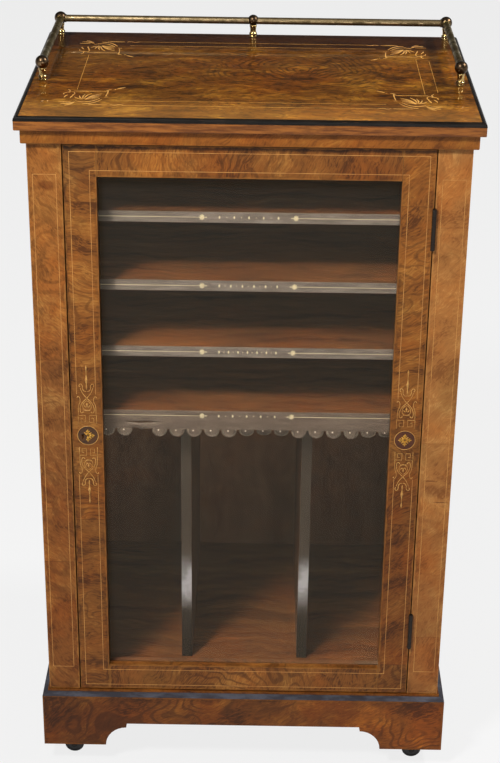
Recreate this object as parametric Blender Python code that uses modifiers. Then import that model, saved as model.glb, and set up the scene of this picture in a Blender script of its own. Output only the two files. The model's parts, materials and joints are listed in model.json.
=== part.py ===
"""Glazed walnut music cabinet on castors, with a brass gallery.

Metres, +Z up. The front faces -Y. The origin is on the floor, under the middle of the top board.
Every board, bar, leather strip and metal fitting is its own object. The door, the lock bolt and
the castors hang on empties that stand on their axes.
"""
import math

import bmesh
import bpy
from mathutils import Vector

# Overall case
case_width = 0.560
case_height = 0.823
top_depth = 0.410
top_overhang = 0.0135
top_back_overhang = 0.004
top_thickness = 0.018
top_edge_round = 0.0012
frieze_height = 0.019
frieze_overhang = 0.0066
frieze_edge_round = 0.0016

# Clearances
seat_gap = 0.0003
door_gap = 0.0016
door_foot_gap = 0.0015
door_head_gap = 0.0020
door_stop_gap = 0.0010
swivel_gap = 0.0005
cut_overrun = 0.004
weld_distance = 0.00001

# Ebonised band in the arris of the top board
band_width = 0.0060
band_height = 0.0055
band_round = 0.0038

# Carcase
side_thickness = 0.018
carcase_top_thickness = 0.018
carcase_bottom_thickness = 0.020
back_thickness = 0.009
pilaster_width = 0.0438
pilaster_depth = 0.022
board_edge_round = 0.0006

# Base: fillet, sloping plinth cap, plinth with bracket feet
fillet_height = 0.0035
fillet_overhang = 0.0025
cap_height = 0.0045
plinth_height = 0.084
plinth_overhang = 0.010
plinth_thickness = 0.018
foot_width = 0.090
foot_cove_width = 0.030
foot_cove_height = 0.031
apron_step = 0.007
apron_step_slope = 0.0012
cove_points = 8
block_size = 0.036
block_height = 0.050

# Castors
castor_height = 0.034
castor_inset = 0.028
castor_setback = 0.0325
castor_trail = 0.0125
wheel_radius = 0.0140
wheel_width = 0.010
wheel_round = 0.0022
wheel_steps = 26
axle_radius = 0.0018
stem_radius = 0.0032
stem_length = 0.022
crown_radius = 0.0120
crown_thickness = 0.0038
fork_arm_thickness = 0.0022
fork_arm_round = 0.0042
fork_arm_root = 0.0075
fork_side_gap = 0.0006

# Door
door_thickness = 0.022
door_stile_width = 0.0416
door_head_width = 0.0418
door_foot_width = 0.0402
rebate_width = 0.0070
sight_lip = 0.010
glass_thickness = 0.003
bead_width = 0.0060

# Hinges
hinge_length = 0.056
hinge_end_inset = 0.106
knuckle_radius = 0.0028
knuckle_proud = 0.0022
knuckle_count = 5
pin_radius = 0.0012
leaf_thickness = 0.0012
leaf_depth = 0.015
leaf_proud = 0.0005
tongue_inset = 0.00015

# Lock
lock_height = 0.4105
lock_case_width = 0.026
lock_case_height = 0.050
lock_case_depth = 0.0098
bolt_length = 0.0115
bolt_height = 0.014
bolt_thickness = 0.004
bolt_chamber_length = 0.020
mortise_depth = 0.009
keyhole_backset = 0.0142
keyhole_radius = 0.0019
keyhole_slot_width = 0.0018
keyhole_slot_length = 0.0050

# Shelves with their leather edges, dividers
shelf_count = 4
shelf_thickness = 0.012
shelf_pitch = 0.0956
shelf_head_room = 0.0815
shelf_setback = 0.030
shelf_housing = 0.005
leather_thickness = 0.0012
leather_height = 0.0146
fall_drop = 0.0395
scallop_pitch = 0.02373
scallop_radius = 0.0103
scallop_points = 10
scallop_curl = 0.0050
scallop_curl_shares = {0: 0.55, 1: 1.0, 2: 0.8, 7: 0.7, 8: 0.9, -9: 0.4}
torn_scallop = -6
divider_thickness = 0.0145
divider_spacing = 0.1676
divider_setback = 0.057

# Gallery
post_side_inset = 0.0190
post_back_inset = 0.0153
gallery_side_length = 0.2310
knob_height = 0.0244
knob_radius = 0.0088
middle_knob_radius = 0.0078
rail_radius = 0.0050
rail_drop = 0.0008
post_foot_radius = 0.0057
post_steps = 16
knob_points = 9
rail_socket_inset = 0.0048

# Facets of small turned parts
round_sides = 16

# Places that follow from the sizes
top_front = -top_depth / 2
case_front = top_front + top_overhang
case_back = top_depth / 2 - top_back_overhang
case_half = case_width / 2
inner_half = case_half - side_thickness
plinth_floor = castor_height
plinth_top = plinth_floor + plinth_height
cap_top = plinth_top + cap_height
case_floor = cap_top + fillet_height
case_top = case_floor + case_height
frieze_top = case_top + frieze_height
slab_top = frieze_top + top_thickness
slab_half = case_half + top_overhang
plinth_half = case_half + plinth_overhang
plinth_front = case_front - plinth_overhang
door_half = case_half - pilaster_width - door_gap
door_floor = case_floor + door_foot_gap
door_top = case_top - door_head_gap
sight_half = door_half - door_stile_width
sight_floor = door_floor + door_foot_width
sight_top = door_top - door_head_width
inside_front = case_front + door_thickness + door_stop_gap
inside_back = case_back - back_thickness
shelf_front = case_front + shelf_setback
hinge_x = door_half + door_gap / 2
hinge_y = case_front - knuckle_proud
lock_z = door_floor + lock_height
lock_y = case_front + door_thickness - lock_case_depth / 2 - seat_gap

CABINET = "sheet_music_cabinet"
QUARTER = math.pi / 2


def clear_scene():
    """Remove what the scene holds and make the two collections."""
    for item in list(bpy.data.objects):
        bpy.data.objects.remove(item, do_unlink=True)
    for name in (CABINET, "cutters"):
        old = bpy.data.collections.get(name)
        if old:
            bpy.data.collections.remove(old)
        bpy.context.scene.collection.children.link(bpy.data.collections.new(name))


def finish(name, colour, roughness, metallic=0.0, alpha=1.0):
    """A Principled material."""
    material = bpy.data.materials.new(name)
    material.use_nodes = True
    shader = material.node_tree.nodes["Principled BSDF"]
    shader.inputs["Base Color"].default_value = (*colour, 1.0)
    shader.inputs["Roughness"].default_value = roughness
    shader.inputs["Metallic"].default_value = metallic
    shader.inputs["Alpha"].default_value = alpha
    return material


def put(name, data, colour, place, parent=None, turn=(0.0, 0.0, 0.0)):
    """Make a part at a world place, with its own material, on its parent if it has one."""
    part = bpy.data.objects.new(name, data)
    bpy.data.collections[CABINET].objects.link(part)
    data.materials.append(finish(name, *colour))
    base = parent.matrix_world.translation if parent else Vector()
    part.parent = parent
    part.location = Vector(place) - base
    part.rotation_euler = turn
    return part


def put_axis(name, place, parent=None):
    """An empty on a joint's axis."""
    axis = bpy.data.objects.new(name, None)
    bpy.data.collections[CABINET].objects.link(axis)
    axis.empty_display_size = castor_height
    base = parent.matrix_world.translation if parent else Vector()
    axis.parent = parent
    axis.location = Vector(place) - base
    bpy.context.view_layer.update()
    return axis


def put_cutter(name, mesh, place, turn=(0.0, 0.0, 0.0)):
    """A helper solid that cuts or joins, and is not a part."""
    cutter = bpy.data.objects.new(name, mesh)
    bpy.data.collections["cutters"].objects.link(cutter)
    cutter.location = place
    cutter.rotation_euler = turn
    cutter.hide_render = True
    cutter.display_type = "WIRE"
    return cutter


def block_mesh(name, size):
    """A box of the given size about its middle."""
    mesh = bpy.data.meshes.new(name)
    shape = bmesh.new()
    bmesh.ops.create_cube(shape, size=1.0)
    bmesh.ops.scale(shape, vec=size, verts=shape.verts)
    shape.to_mesh(mesh)
    shape.free()
    return mesh


def rod_mesh(name, radius, length, sides=round_sides):
    """A closed rod along Z about its middle, shaded smooth round its side."""
    mesh = bpy.data.meshes.new(name)
    shape = bmesh.new()
    bmesh.ops.create_cone(
        shape, cap_ends=True, segments=sides, radius1=radius, radius2=radius, depth=length
    )
    shape.to_mesh(mesh)
    shape.free()
    mesh.shade_smooth()
    mesh.set_sharp_from_angle(angle=math.radians(40))
    return mesh


def middle_and_size(low, high):
    """Middle and size of the box between two corners."""
    low, high = Vector(low), Vector(high)
    return (low + high) / 2, high - low


def board(name, colour, low, high, parent=None, edge=0.0, segments=2):
    """A board between two corners, with its arrises eased."""
    place, size = middle_and_size(low, high)
    part = put(name, block_mesh(name, size), colour, place, parent)
    if edge:
        ease(part, edge, segments)
    return part


def ease(part, width, segments=2):
    """Round the arrises of a part."""
    bevel = part.modifiers.new("eased_arris", "BEVEL")
    bevel.width = width
    bevel.segments = segments
    bevel.limit_method = "ANGLE"
    bevel.angle_limit = math.radians(40)


def box_cutter(name, low, high):
    """A box that cuts."""
    place, size = middle_and_size(low, high)
    return put_cutter(name, block_mesh(name, size), place)


def boolean(part, other, operation="DIFFERENCE"):
    """Cut a part with a helper solid, or join the helper to it."""
    step = part.modifiers.new(other.name, "BOOLEAN")
    step.operation = operation
    step.solver = "EXACT"
    step.object = other


def outline_curve(name, points, thickness):
    """A flat outline filled and thickened about its own plane."""
    curve = bpy.data.curves.new(name, "CURVE")
    curve.dimensions = "2D"
    curve.fill_mode = "BOTH"
    curve.extrude = thickness / 2
    line = curve.splines.new("POLY")
    line.points.add(len(points) - 1)
    for target, (across, up) in zip(line.points, points):
        target.co = (across, up, 0.0, 1.0)
    line.use_cyclic_u = True
    return curve


def outline_mesh(name, points, thickness):
    """The same outline as a mesh, with its caps welded to its edge."""
    guide = bpy.data.objects.new(name, outline_curve(name, points, thickness))
    bpy.data.collections["cutters"].objects.link(guide)
    bpy.context.view_layer.update()
    depsgraph = bpy.context.evaluated_depsgraph_get()
    mesh = bpy.data.meshes.new_from_object(guide.evaluated_get(depsgraph))
    bpy.data.objects.remove(guide, do_unlink=True)
    shape = bmesh.new()
    shape.from_mesh(mesh)
    bmesh.ops.remove_doubles(shape, verts=shape.verts, dist=weld_distance)
    shape.to_mesh(mesh)
    shape.free()
    mesh.materials.clear()
    return mesh


def turned(name, colour, profile, steps, place, parent=None, turn=(0.0, 0.0, 0.0), closed=False):
    """A turned part from a profile of radius and height, listed down its outer side."""
    mesh = bpy.data.meshes.new(name)
    shape = bmesh.new()
    corners = [shape.verts.new((radius, 0.0, height)) for radius, height in profile]
    runs = list(zip(corners, corners[1:]))
    if closed:
        runs.append((corners[-1], corners[0]))
    for first, second in runs:
        shape.edges.new((first, second))
    shape.to_mesh(mesh)
    shape.free()
    part = put(name, mesh, colour, place, parent, turn)
    screw = part.modifiers.new("turning", "SCREW")
    screw.steps = steps
    screw.render_steps = steps
    screw.use_merge_vertices = True
    screw.merge_threshold = weld_distance
    screw.use_smooth_shade = True
    return part


walnut = ((0.24, 0.10, 0.032), 0.30)
dark_walnut = ((0.15, 0.060, 0.022), 0.34)
top_walnut = ((0.30, 0.13, 0.036), 0.22)
inside_wood = ((0.16, 0.058, 0.028), 0.55)
rough_wood = ((0.20, 0.12, 0.07), 0.75)
ebony = ((0.012, 0.011, 0.011), 0.28)
brass = ((0.30, 0.21, 0.10), 0.34, 1.0)
dark_metal = ((0.05, 0.045, 0.04), 0.45, 1.0)
leather = ((0.20, 0.16, 0.15), 0.62)
pane = ((0.80, 0.84, 0.82), 0.04, 0.0, 0.25)
castor_black = ((0.02, 0.018, 0.017), 0.5)


def build_top():
    """Top board, its ebonised band, and the frieze board under it."""
    slab = board(
        "top_board", top_walnut,
        (-slab_half, top_front, frieze_top + seat_gap), (slab_half, top_depth / 2, slab_top),
        edge=top_edge_round,
    )
    inner = (slab_half - band_width - seat_gap, top_front + band_width + seat_gap)
    # The rebate is the band's own room: the slab keeps a raised field inside it
    room = box_cutter(
        "band_room",
        (-slab_half - cut_overrun, top_front - cut_overrun, slab_top - band_height - seat_gap),
        (slab_half + cut_overrun, top_depth / 2 + cut_overrun, slab_top + cut_overrun),
    )
    field = box_cutter(
        "band_field",
        (-inner[0], inner[1], frieze_top),
        (inner[0], top_depth / 2 + 2 * cut_overrun, slab_top + 2 * cut_overrun),
    )
    boolean(room, field)
    boolean(slab, room)

    band = board(
        "top_edge_band", ebony,
        (-slab_half, top_front, slab_top - band_height), (slab_half, top_depth / 2, slab_top),
        edge=band_round, segments=3,
    )
    band.modifiers["eased_arris"].limit_method = "WEIGHT"
    weight_outer_top_edges(band.data)
    clear = box_cutter(
        "band_inside",
        (-slab_half + band_width, top_front + band_width, slab_top - band_height - cut_overrun),
        (slab_half - band_width, top_depth / 2 + cut_overrun, slab_top + cut_overrun),
    )
    boolean(band, clear)

    board(
        "frieze_board", walnut,
        (-case_half - frieze_overhang, case_front - frieze_overhang, case_top + seat_gap),
        (case_half + frieze_overhang, case_back, frieze_top),
        edge=frieze_edge_round,
    )


def weight_outer_top_edges(mesh):
    """Mark the front and side top arrises of a board for its Bevel modifier."""
    highest = max(corner.co.z for corner in mesh.vertices)
    rearmost = max(corner.co.y for corner in mesh.vertices)
    weights = mesh.attributes.new("bevel_weight_edge", "FLOAT", "EDGE")
    for edge, weight in zip(mesh.edges, weights.data):
        ends = [mesh.vertices[index].co for index in edge.vertices]
        on_top = all(end.z == highest for end in ends)
        on_back = all(end.y == rearmost for end in ends)
        weight.value = 1.0 if on_top and not on_back else 0.0


def build_carcase():
    """Sides, top, bottom, back and the two pilasters."""
    housings = shelf_housings()
    for side, name in ((-1, "left"), (1, "right")):
        inner, outer = sorted((side * inner_half, side * case_half))
        panel = board(
            "carcase_side_" + name, walnut,
            (inner, case_front + pilaster_depth + seat_gap, case_floor),
            (outer, case_back, case_top),
        )
        for housing in housings:
            boolean(panel, housing)
        edge, face = sorted((side * (case_half - pilaster_width), side * case_half))
        pilaster = board(
            "pilaster_" + name, walnut,
            (edge, case_front, case_floor), (face, case_front + pilaster_depth, case_top),
            edge=board_edge_round,
        )
        if side < 0:
            boolean(pilaster, bolt_mortise())
        else:
            for recess in hinge_recesses("case"):
                boolean(pilaster, recess)
    board(
        "carcase_top", inside_wood,
        (-inner_half + seat_gap, inside_front, case_top - carcase_top_thickness),
        (inner_half - seat_gap, inside_back - seat_gap, case_top),
    )
    board(
        "carcase_bottom", inside_wood,
        (-inner_half + seat_gap, inside_front, case_floor),
        (inner_half - seat_gap, inside_back - seat_gap, case_floor + carcase_bottom_thickness),
    )
    board(
        "back_panel", rough_wood,
        (-inner_half + seat_gap, inside_back, case_floor),
        (inner_half - seat_gap, case_back, case_top),
    )


def shelf_top(index):
    """Height of a shelf's upper face, counted from the top."""
    return case_top - carcase_top_thickness - shelf_head_room - index * shelf_pitch


def shelf_housings():
    """Cutters for the grooves in which the shelves' ends sit."""
    return [
        box_cutter(
            f"shelf_housing_{index + 1}",
            (-inner_half - shelf_housing - seat_gap, shelf_front, shelf_top(index) - shelf_thickness
             - seat_gap),
            (inner_half + shelf_housing + seat_gap, inside_back, shelf_top(index) + seat_gap),
        )
        for index in range(shelf_count)
    ]


def build_shelves():
    """Four shelves with leather edges, the lowest one with its scalloped fall."""
    for index in range(shelf_count):
        top = shelf_top(index)
        board(
            f"shelf_{index + 1}", inside_wood,
            (-inner_half - shelf_housing, shelf_front + leather_thickness + seat_gap,
             top - shelf_thickness),
            (inner_half + shelf_housing, inside_back - seat_gap, top),
        )
        if index < shelf_count - 1:
            board(
                f"shelf_edge_{index + 1}", leather,
                (-inner_half + seat_gap, shelf_front, top - leather_height),
                (inner_half - seat_gap, shelf_front + leather_thickness, top),
            )
        else:
            build_fall(top)


def scallop_outline():
    """Lower line of the fall from left to right, as pairs of across and down from its top."""
    half = inner_half - seat_gap
    neck = fall_drop - scallop_radius
    brow = neck - (scallop_pitch / 2 - scallop_radius)
    line = [(-half, brow)]
    reach = int(half / scallop_pitch)
    for count in range(-reach, reach + 1):
        middle = count * scallop_pitch
        if count == torn_scallop or abs(middle) + scallop_radius > half:
            continue
        line.append((middle - scallop_radius, brow))
        for step in range(scallop_points + 1):
            angle = math.pi * step / scallop_points
            across = middle - scallop_radius * math.cos(angle)
            line.append((across, neck + scallop_radius * math.sin(angle)))
        line.append((middle + scallop_radius, brow))
    line.append((half, brow))
    return line


def build_fall(top):
    """The leather of the lowest shelf edge: a band, and scallops that curl back a little."""
    half = inner_half - seat_gap
    points = [(across, -down) for across, down in scallop_outline()]
    points += [(half, 0.0), (-half, 0.0)]
    mesh = outline_mesh("shelf_edge_fall", points, leather_thickness)
    hem = fall_drop - scallop_radius
    for corner in mesh.vertices:
        depth = max(0.0, (-corner.co.y - hem) / scallop_radius)
        curl = scallop_curl_shares.get(round(corner.co.x / scallop_pitch), 0.0)
        corner.co.z -= scallop_curl * curl * depth * depth
    middle = shelf_front + leather_thickness / 2
    put("shelf_edge_fall", mesh, leather, (0.0, middle, top), turn=(QUARTER, 0.0, 0.0))


def build_dividers():
    """Two upright dividers between the floor and the lowest shelf."""
    floor = case_floor + carcase_bottom_thickness + seat_gap
    head = shelf_top(shelf_count - 1) - shelf_thickness - seat_gap
    for side, name in ((-1, "left"), (1, "right")):
        middle = side * divider_spacing / 2
        board(
            "divider_" + name, inside_wood,
            (middle - divider_thickness / 2, case_front + divider_setback, floor),
            (middle + divider_thickness / 2, inside_back - seat_gap, head),
        )


def foot_outline(left, right, left_foot, right_foot):
    """Outline of a plinth board with a bracket foot at each end, up from its lower edge."""
    line = [(left, 0.0), (left, plinth_height), (right, plinth_height), (right, 0.0)]
    for edge, sign in ((right - right_foot, 1), (left + left_foot, -1)):
        cove = []
        for step in range(cove_points + 1):
            angle = QUARTER * step / cove_points
            inward = foot_cove_width * (1 - math.cos(angle))
            cove.append((edge - sign * inward, foot_cove_height * math.sin(angle)))
        step_end = edge - sign * (foot_cove_width + apron_step_slope)
        cove.append((step_end, foot_cove_height + apron_step))
        line += cove if sign > 0 else reversed(cove)
    return line


def build_base():
    """Fillet, sloping cap, plinth boards and corner blocks."""
    board(
        "base_fillet", dark_walnut,
        (-case_half - fillet_overhang, case_front - fillet_overhang, cap_top + seat_gap),
        (case_half + fillet_overhang, case_back, case_floor - seat_gap),
    )
    cap = board(
        "plinth_cap", ebony,
        (-plinth_half, plinth_front, plinth_top + seat_gap), (plinth_half, case_back, cap_top),
    )
    for corner in cap.data.vertices:
        if corner.co.z > 0:
            corner.co.x -= math.copysign(plinth_overhang - fillet_overhang, corner.co.x)
            if corner.co.y < 0:
                corner.co.y += plinth_overhang - fillet_overhang
    upright = (QUARTER, 0.0, 0.0)
    sideways = (QUARTER, 0.0, QUARTER)
    front_line = foot_outline(-plinth_half, plinth_half, foot_width, foot_width)
    middle = plinth_front + plinth_thickness / 2
    put(
        "plinth_front", outline_curve("plinth_front", front_line, plinth_thickness), dark_walnut,
        (0.0, middle, plinth_floor), turn=upright,
    )
    side_front = plinth_front + plinth_thickness + seat_gap
    side_line = foot_outline(side_front, case_back, foot_width - plinth_thickness, foot_width)
    for side, name in ((-1, "left"), (1, "right")):
        across = side * (plinth_half - plinth_thickness / 2)
        put(
            "plinth_side_" + name,
            outline_curve("plinth_side_" + name, side_line, plinth_thickness), dark_walnut,
            (across, 0.0, plinth_floor), turn=sideways,
        )
    inner = plinth_half - plinth_thickness - seat_gap
    board(
        "plinth_back", rough_wood,
        (-inner, case_back - plinth_thickness, plinth_floor + foot_cove_height),
        (inner, case_back, plinth_top),
    )
    for name, across, along in castor_corners():
        reach = plinth_thickness + seat_gap
        x_edges = sorted((across * (plinth_half - reach), across * (plinth_half - reach - block_size)))
        if along < 0:
            y_edges = (plinth_front + reach, plinth_front + reach + block_size)
        else:
            y_edges = (case_back - reach - block_size, case_back - reach)
        block = board(
            "corner_block_" + name, rough_wood,
            (x_edges[0], y_edges[0], plinth_floor),
            (x_edges[1], y_edges[1], plinth_floor + block_height),
        )
        pivot = castor_pivot(across, along)
        socket_depth = stem_length + seat_gap + cut_overrun
        socket = put_cutter(
            "stem_socket_" + name,
            rod_mesh("stem_socket_" + name, stem_radius + seat_gap, socket_depth),
            (pivot.x, pivot.y, plinth_floor + socket_depth / 2 - cut_overrun),
        )
        boolean(block, socket)


def castor_corners():
    """Name and direction of each corner: across, then along."""
    return (
        ("front_left", -1, -1), ("front_right", 1, -1), ("back_left", -1, 1), ("back_right", 1, 1)
    )


def castor_pivot(across, along):
    """Point on the floor plane of the plinth where a castor's stem turns."""
    y = plinth_front + castor_setback if along < 0 else case_back - castor_setback
    return Vector((across * (plinth_half - castor_inset), y, plinth_floor))


def build_castors():
    """Four castors: a fork with its stem on the swivel axis, a wheel on the axle."""
    for name, across, along in castor_corners():
        pivot = castor_pivot(across, along)
        swivel = put_axis("castor_swivel_axis_" + name, pivot)
        axle_place = Vector((pivot.x - across * castor_trail, pivot.y, wheel_radius))
        axle = put_axis("castor_axle_" + name, axle_place, swivel)
        build_fork(name, across, pivot, axle_place, swivel)
        build_wheel(name, axle_place, axle)


def build_fork(name, across, pivot, axle_place, swivel):
    """Crown disc with its stem, two arms and the axle, as one forged piece."""
    crown_top = pivot.z - swivel_gap
    crown_middle = crown_top - crown_thickness / 2
    fork = put(
        "castor_fork_" + name, rod_mesh("castor_fork_" + name, crown_radius, crown_thickness),
        brass, (pivot.x, pivot.y, crown_middle), swivel,
    )
    stem_span = stem_length + swivel_gap + crown_thickness / 2
    stem = put_cutter(
        "castor_stem_" + name, rod_mesh("castor_stem_" + name, stem_radius, stem_span),
        (pivot.x, pivot.y, crown_middle + stem_span / 2),
    )
    boolean(fork, stem, "UNION")
    arm_height = crown_middle - axle_place.z
    line = [(-across * fork_arm_root, arm_height), (across * fork_arm_root, arm_height)]
    line = [(pivot.x - axle_place.x + spread, up) for spread, up in line]
    for step in range(cove_points + 1):
        angle = math.pi * step / cove_points
        swing = across * fork_arm_round * math.cos(angle)
        line.append((swing, -fork_arm_round * math.sin(angle)))
    offset = wheel_width / 2 + fork_side_gap + fork_arm_thickness / 2
    for side, arm_name in ((-1, "near"), (1, "far")):
        full_name = f"castor_arm_{arm_name}_{name}"
        arm = put_cutter(
            full_name, outline_mesh(full_name, line, fork_arm_thickness),
            (axle_place.x, axle_place.y + side * offset, axle_place.z), (QUARTER, 0.0, 0.0),
        )
        boolean(fork, arm, "UNION")
    pin_length = 2 * offset
    pin = put_cutter(
        "castor_pin_" + name, rod_mesh("castor_pin_" + name, axle_radius, pin_length),
        axle_place, (QUARTER, 0.0, 0.0),
    )
    boolean(fork, pin, "UNION")


def build_wheel(name, axle_place, axle):
    """A wheel with eased rims, bored for the axle, with a flat of its facets on the floor."""
    rim = wheel_radius / math.cos(math.pi / wheel_steps)
    bore = axle_radius + seat_gap
    half = wheel_width / 2
    profile = [
        (bore, half), (rim - wheel_round, half), (rim, half - wheel_round),
        (rim, -half + wheel_round), (rim - wheel_round, -half), (bore, -half),
    ]
    turned(
        "castor_wheel_" + name, castor_black, profile, wheel_steps, axle_place, axle,
        turn=(QUARTER, 0.0, 0.0), closed=True,
    )


def build_gallery():
    """Five turned posts with ball knobs, and the three rails between them."""
    base = slab_top + seat_gap
    across = slab_half - post_side_inset
    back = top_depth / 2 - post_back_inset
    front = back - gallery_side_length
    height = slab_top + knob_height - rail_drop
    posts = (
        ("back_left", -across, back, knob_radius), ("back_middle", 0.0, back, middle_knob_radius),
        ("back_right", across, back, knob_radius), ("front_left", -across, front, knob_radius),
        ("front_right", across, front, knob_radius),
    )
    made = {}
    for name, x, y, radius in posts:
        made[name] = turned(
            "gallery_post_" + name, brass, post_profile(radius), post_steps, (x, y, base)
        )
    end = rail_socket_inset + seat_gap
    rails = (
        ("back", (-across + end, back), (across - end, back),
         ("back_left", "back_middle", "back_right")),
        ("left", (-across, front + end), (-across, back - end), ("front_left", "back_left")),
        ("right", (across, front + end), (across, back - end), ("front_right", "back_right")),
    )
    for name, start, stop, held_by in rails:
        start = Vector((*start, height))
        stop = Vector((*stop, height))
        turn = (0.0, QUARTER, 0.0) if name == "back" else (QUARTER, 0.0, 0.0)
        put(
            "gallery_rail_" + name,
            rod_mesh("gallery_rail_" + name, rail_radius, (stop - start).length), brass,
            (start + stop) / 2, turn=turn,
        )
        socket = put_cutter(
            "rail_socket_" + name,
            rod_mesh("rail_socket_" + name, rail_radius + seat_gap,
                     (stop - start).length + 2 * seat_gap),
            (start + stop) / 2, turn,
        )
        for post in held_by:
            boolean(made[post], socket)


def post_profile(ball):
    """Radius and height of a post down its outer side, from the knob's top to its foot."""
    centre = knob_height - seat_gap
    neck_share = 0.90
    waist_share = 0.76
    base_share = 0.84
    meet = math.acos(post_foot_radius * neck_share / ball)
    line = []
    for step in range(knob_points + 1):
        angle = QUARTER - (QUARTER + meet) * step / knob_points
        line.append((ball * math.cos(angle), centre + ball * math.sin(angle)))
    line[0] = (0.0, line[0][1])
    lowest = line[-1][1]
    shape_shares = (
        (neck_share, 0.90), (waist_share, 0.72), (waist_share, 0.44), (1.0, 0.34), (1.0, 0.20),
        (base_share, 0.12), (base_share, 0.0),
    )
    line += [(post_foot_radius * out, lowest * up) for out, up in shape_shares]
    line.append((0.0, 0.0))
    return line


def build_door():
    """The glazed door on its hinge axis."""
    axis = put_axis("door_hinge_axis", (hinge_x, hinge_y, (door_floor + door_top) / 2))
    back = case_front + door_thickness
    rebate = box_cutter(
        "glazing_rebate",
        (-sight_half - rebate_width, case_front + sight_lip, sight_floor - rebate_width),
        (sight_half + rebate_width, back + cut_overrun, sight_top + rebate_width),
    )
    for side, name in ((-1, "lock"), (1, "hinge")):
        inner, outer = sorted((side * sight_half, side * door_half))
        stile = board(
            f"door_stile_{name}", walnut,
            (inner, case_front, door_floor), (outer, back, door_top), axis,
        )
        boolean(stile, rebate)
        if side < 0:
            boolean(stile, lock_recess())
            for cutter in keyhole_cutters("stile"):
                boolean(stile, cutter)
        else:
            for recess in hinge_recesses("door"):
                boolean(stile, recess)
    half = sight_half - seat_gap
    for name, low, high in (
        ("top", sight_top, door_top), ("bottom", door_floor, sight_floor)
    ):
        rail = board(
            f"door_rail_{name}", walnut, (-half, case_front, low), (half, back, high), axis
        )
        boolean(rail, rebate)
    edge = rebate_width - seat_gap
    pane_front = case_front + sight_lip + seat_gap
    board(
        "door_glass", pane,
        (-sight_half - edge, pane_front, sight_floor - edge),
        (sight_half + edge, pane_front + glass_thickness, sight_top + edge), axis,
    )
    bead = board(
        "glazing_bead", dark_walnut,
        (-sight_half - edge, pane_front + glass_thickness + seat_gap, sight_floor - edge),
        (sight_half + edge, back, sight_top + edge), axis,
    )
    open_edge = edge - bead_width
    opening = box_cutter(
        "bead_opening",
        (-sight_half - open_edge, case_front, sight_floor - open_edge),
        (sight_half + open_edge, back + cut_overrun, sight_top + open_edge),
    )
    boolean(bead, opening)
    build_hinges(axis)
    build_lock(axis)


def hinge_heights():
    """Middle heights of the two hinges."""
    upper = door_top - hinge_end_inset
    lower = door_floor + hinge_end_inset
    return (("upper", upper), ("lower", lower))


def hinge_recesses(owner):
    """Cutters for a hinge leaf and the knuckles' hollow, in the door's or the pilaster's edge."""
    face = door_half if owner == "door" else case_half - pilaster_width
    sign = 1 if owner == "door" else -1
    depth = leaf_thickness - leaf_proud + seat_gap
    cutters = []
    for name, height in hinge_heights():
        half = hinge_length / 2 + seat_gap
        edges = sorted((face - sign * depth, face + sign * door_gap / 2))
        cutters.append(box_cutter(
            f"leaf_recess_{owner}_{name}",
            (edges[0], case_front - cut_overrun, height - half),
            (edges[1], case_front + leaf_depth + seat_gap, height + half),
        ))
        hollow = f"knuckle_hollow_{owner}_{name}"
        cutters.append(put_cutter(
            hollow, rod_mesh(hollow, knuckle_radius + seat_gap, 2 * half),
            (hinge_x, hinge_y, height),
        ))
    return cutters


def build_hinges(axis):
    """Two butt hinges, each with a case leaf that holds the pin and a door leaf that turns."""
    for name, height in hinge_heights():
        case_knuckles = range(0, knuckle_count, 2)
        door_knuckles = range(1, knuckle_count, 2)
        case_leaf = hinge_leaf(f"hinge_{name}_case_leaf", height, 1, case_knuckles, None)
        pin_name = f"hinge_pin_{name}"
        pin = put_cutter(
            pin_name, rod_mesh(pin_name, pin_radius, hinge_length - 2 * seat_gap),
            (hinge_x, hinge_y, height),
        )
        boolean(case_leaf, pin, "UNION")
        door_leaf = hinge_leaf(f"hinge_{name}_door_leaf", height, -1, door_knuckles, axis)
        bore_name = f"hinge_bore_{name}"
        bore = put_cutter(
            bore_name, rod_mesh(bore_name, pin_radius + seat_gap, hinge_length + cut_overrun),
            (hinge_x, hinge_y, height),
        )
        boolean(door_leaf, bore)


def hinge_leaf(name, height, side, knuckles, parent):
    """A leaf on one side of the gap, with its share of the knuckles."""
    inner = door_gap / 2 - leaf_proud
    edges = sorted((hinge_x + side * inner, hinge_x + side * (inner + leaf_thickness)))
    low_end = height - hinge_length / 2
    leaf = board(
        name, dark_metal,
        (edges[0], hinge_y + knuckle_radius + seat_gap, low_end),
        (edges[1], case_front + leaf_depth, low_end + hinge_length), parent,
    )
    pitch = hinge_length / knuckle_count
    for count in knuckles:
        middle = low_end + pitch * (count + 1 / 2)
        length = pitch - seat_gap
        # The tongue keeps inside the leaf's thickness and the knuckle's length: no faces coincide
        reach = length / 2 - seat_gap
        tongue = box_cutter(
            f"{name}_tongue_{count}",
            (edges[0] + tongue_inset, hinge_y + knuckle_radius / 2, middle - reach),
            (edges[1] - tongue_inset, hinge_y + knuckle_radius + leaf_thickness, middle + reach),
        )
        boolean(leaf, tongue, "UNION")
        knuckle_name = f"{name}_knuckle_{count}"
        knuckle = put_cutter(
            knuckle_name, rod_mesh(knuckle_name, knuckle_radius, length),
            (hinge_x, hinge_y, middle),
        )
        boolean(leaf, knuckle, "UNION")
    return leaf


def lock_recess():
    """Cutter for the lock's room in the back of the lock stile."""
    half = lock_case_height / 2 + seat_gap
    return box_cutter(
        "lock_recess",
        (-door_half - cut_overrun, lock_y - lock_case_depth / 2 - seat_gap, lock_z - half),
        (-door_half + lock_case_width + seat_gap, case_front + door_thickness + cut_overrun,
         lock_z + half),
    )


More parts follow.
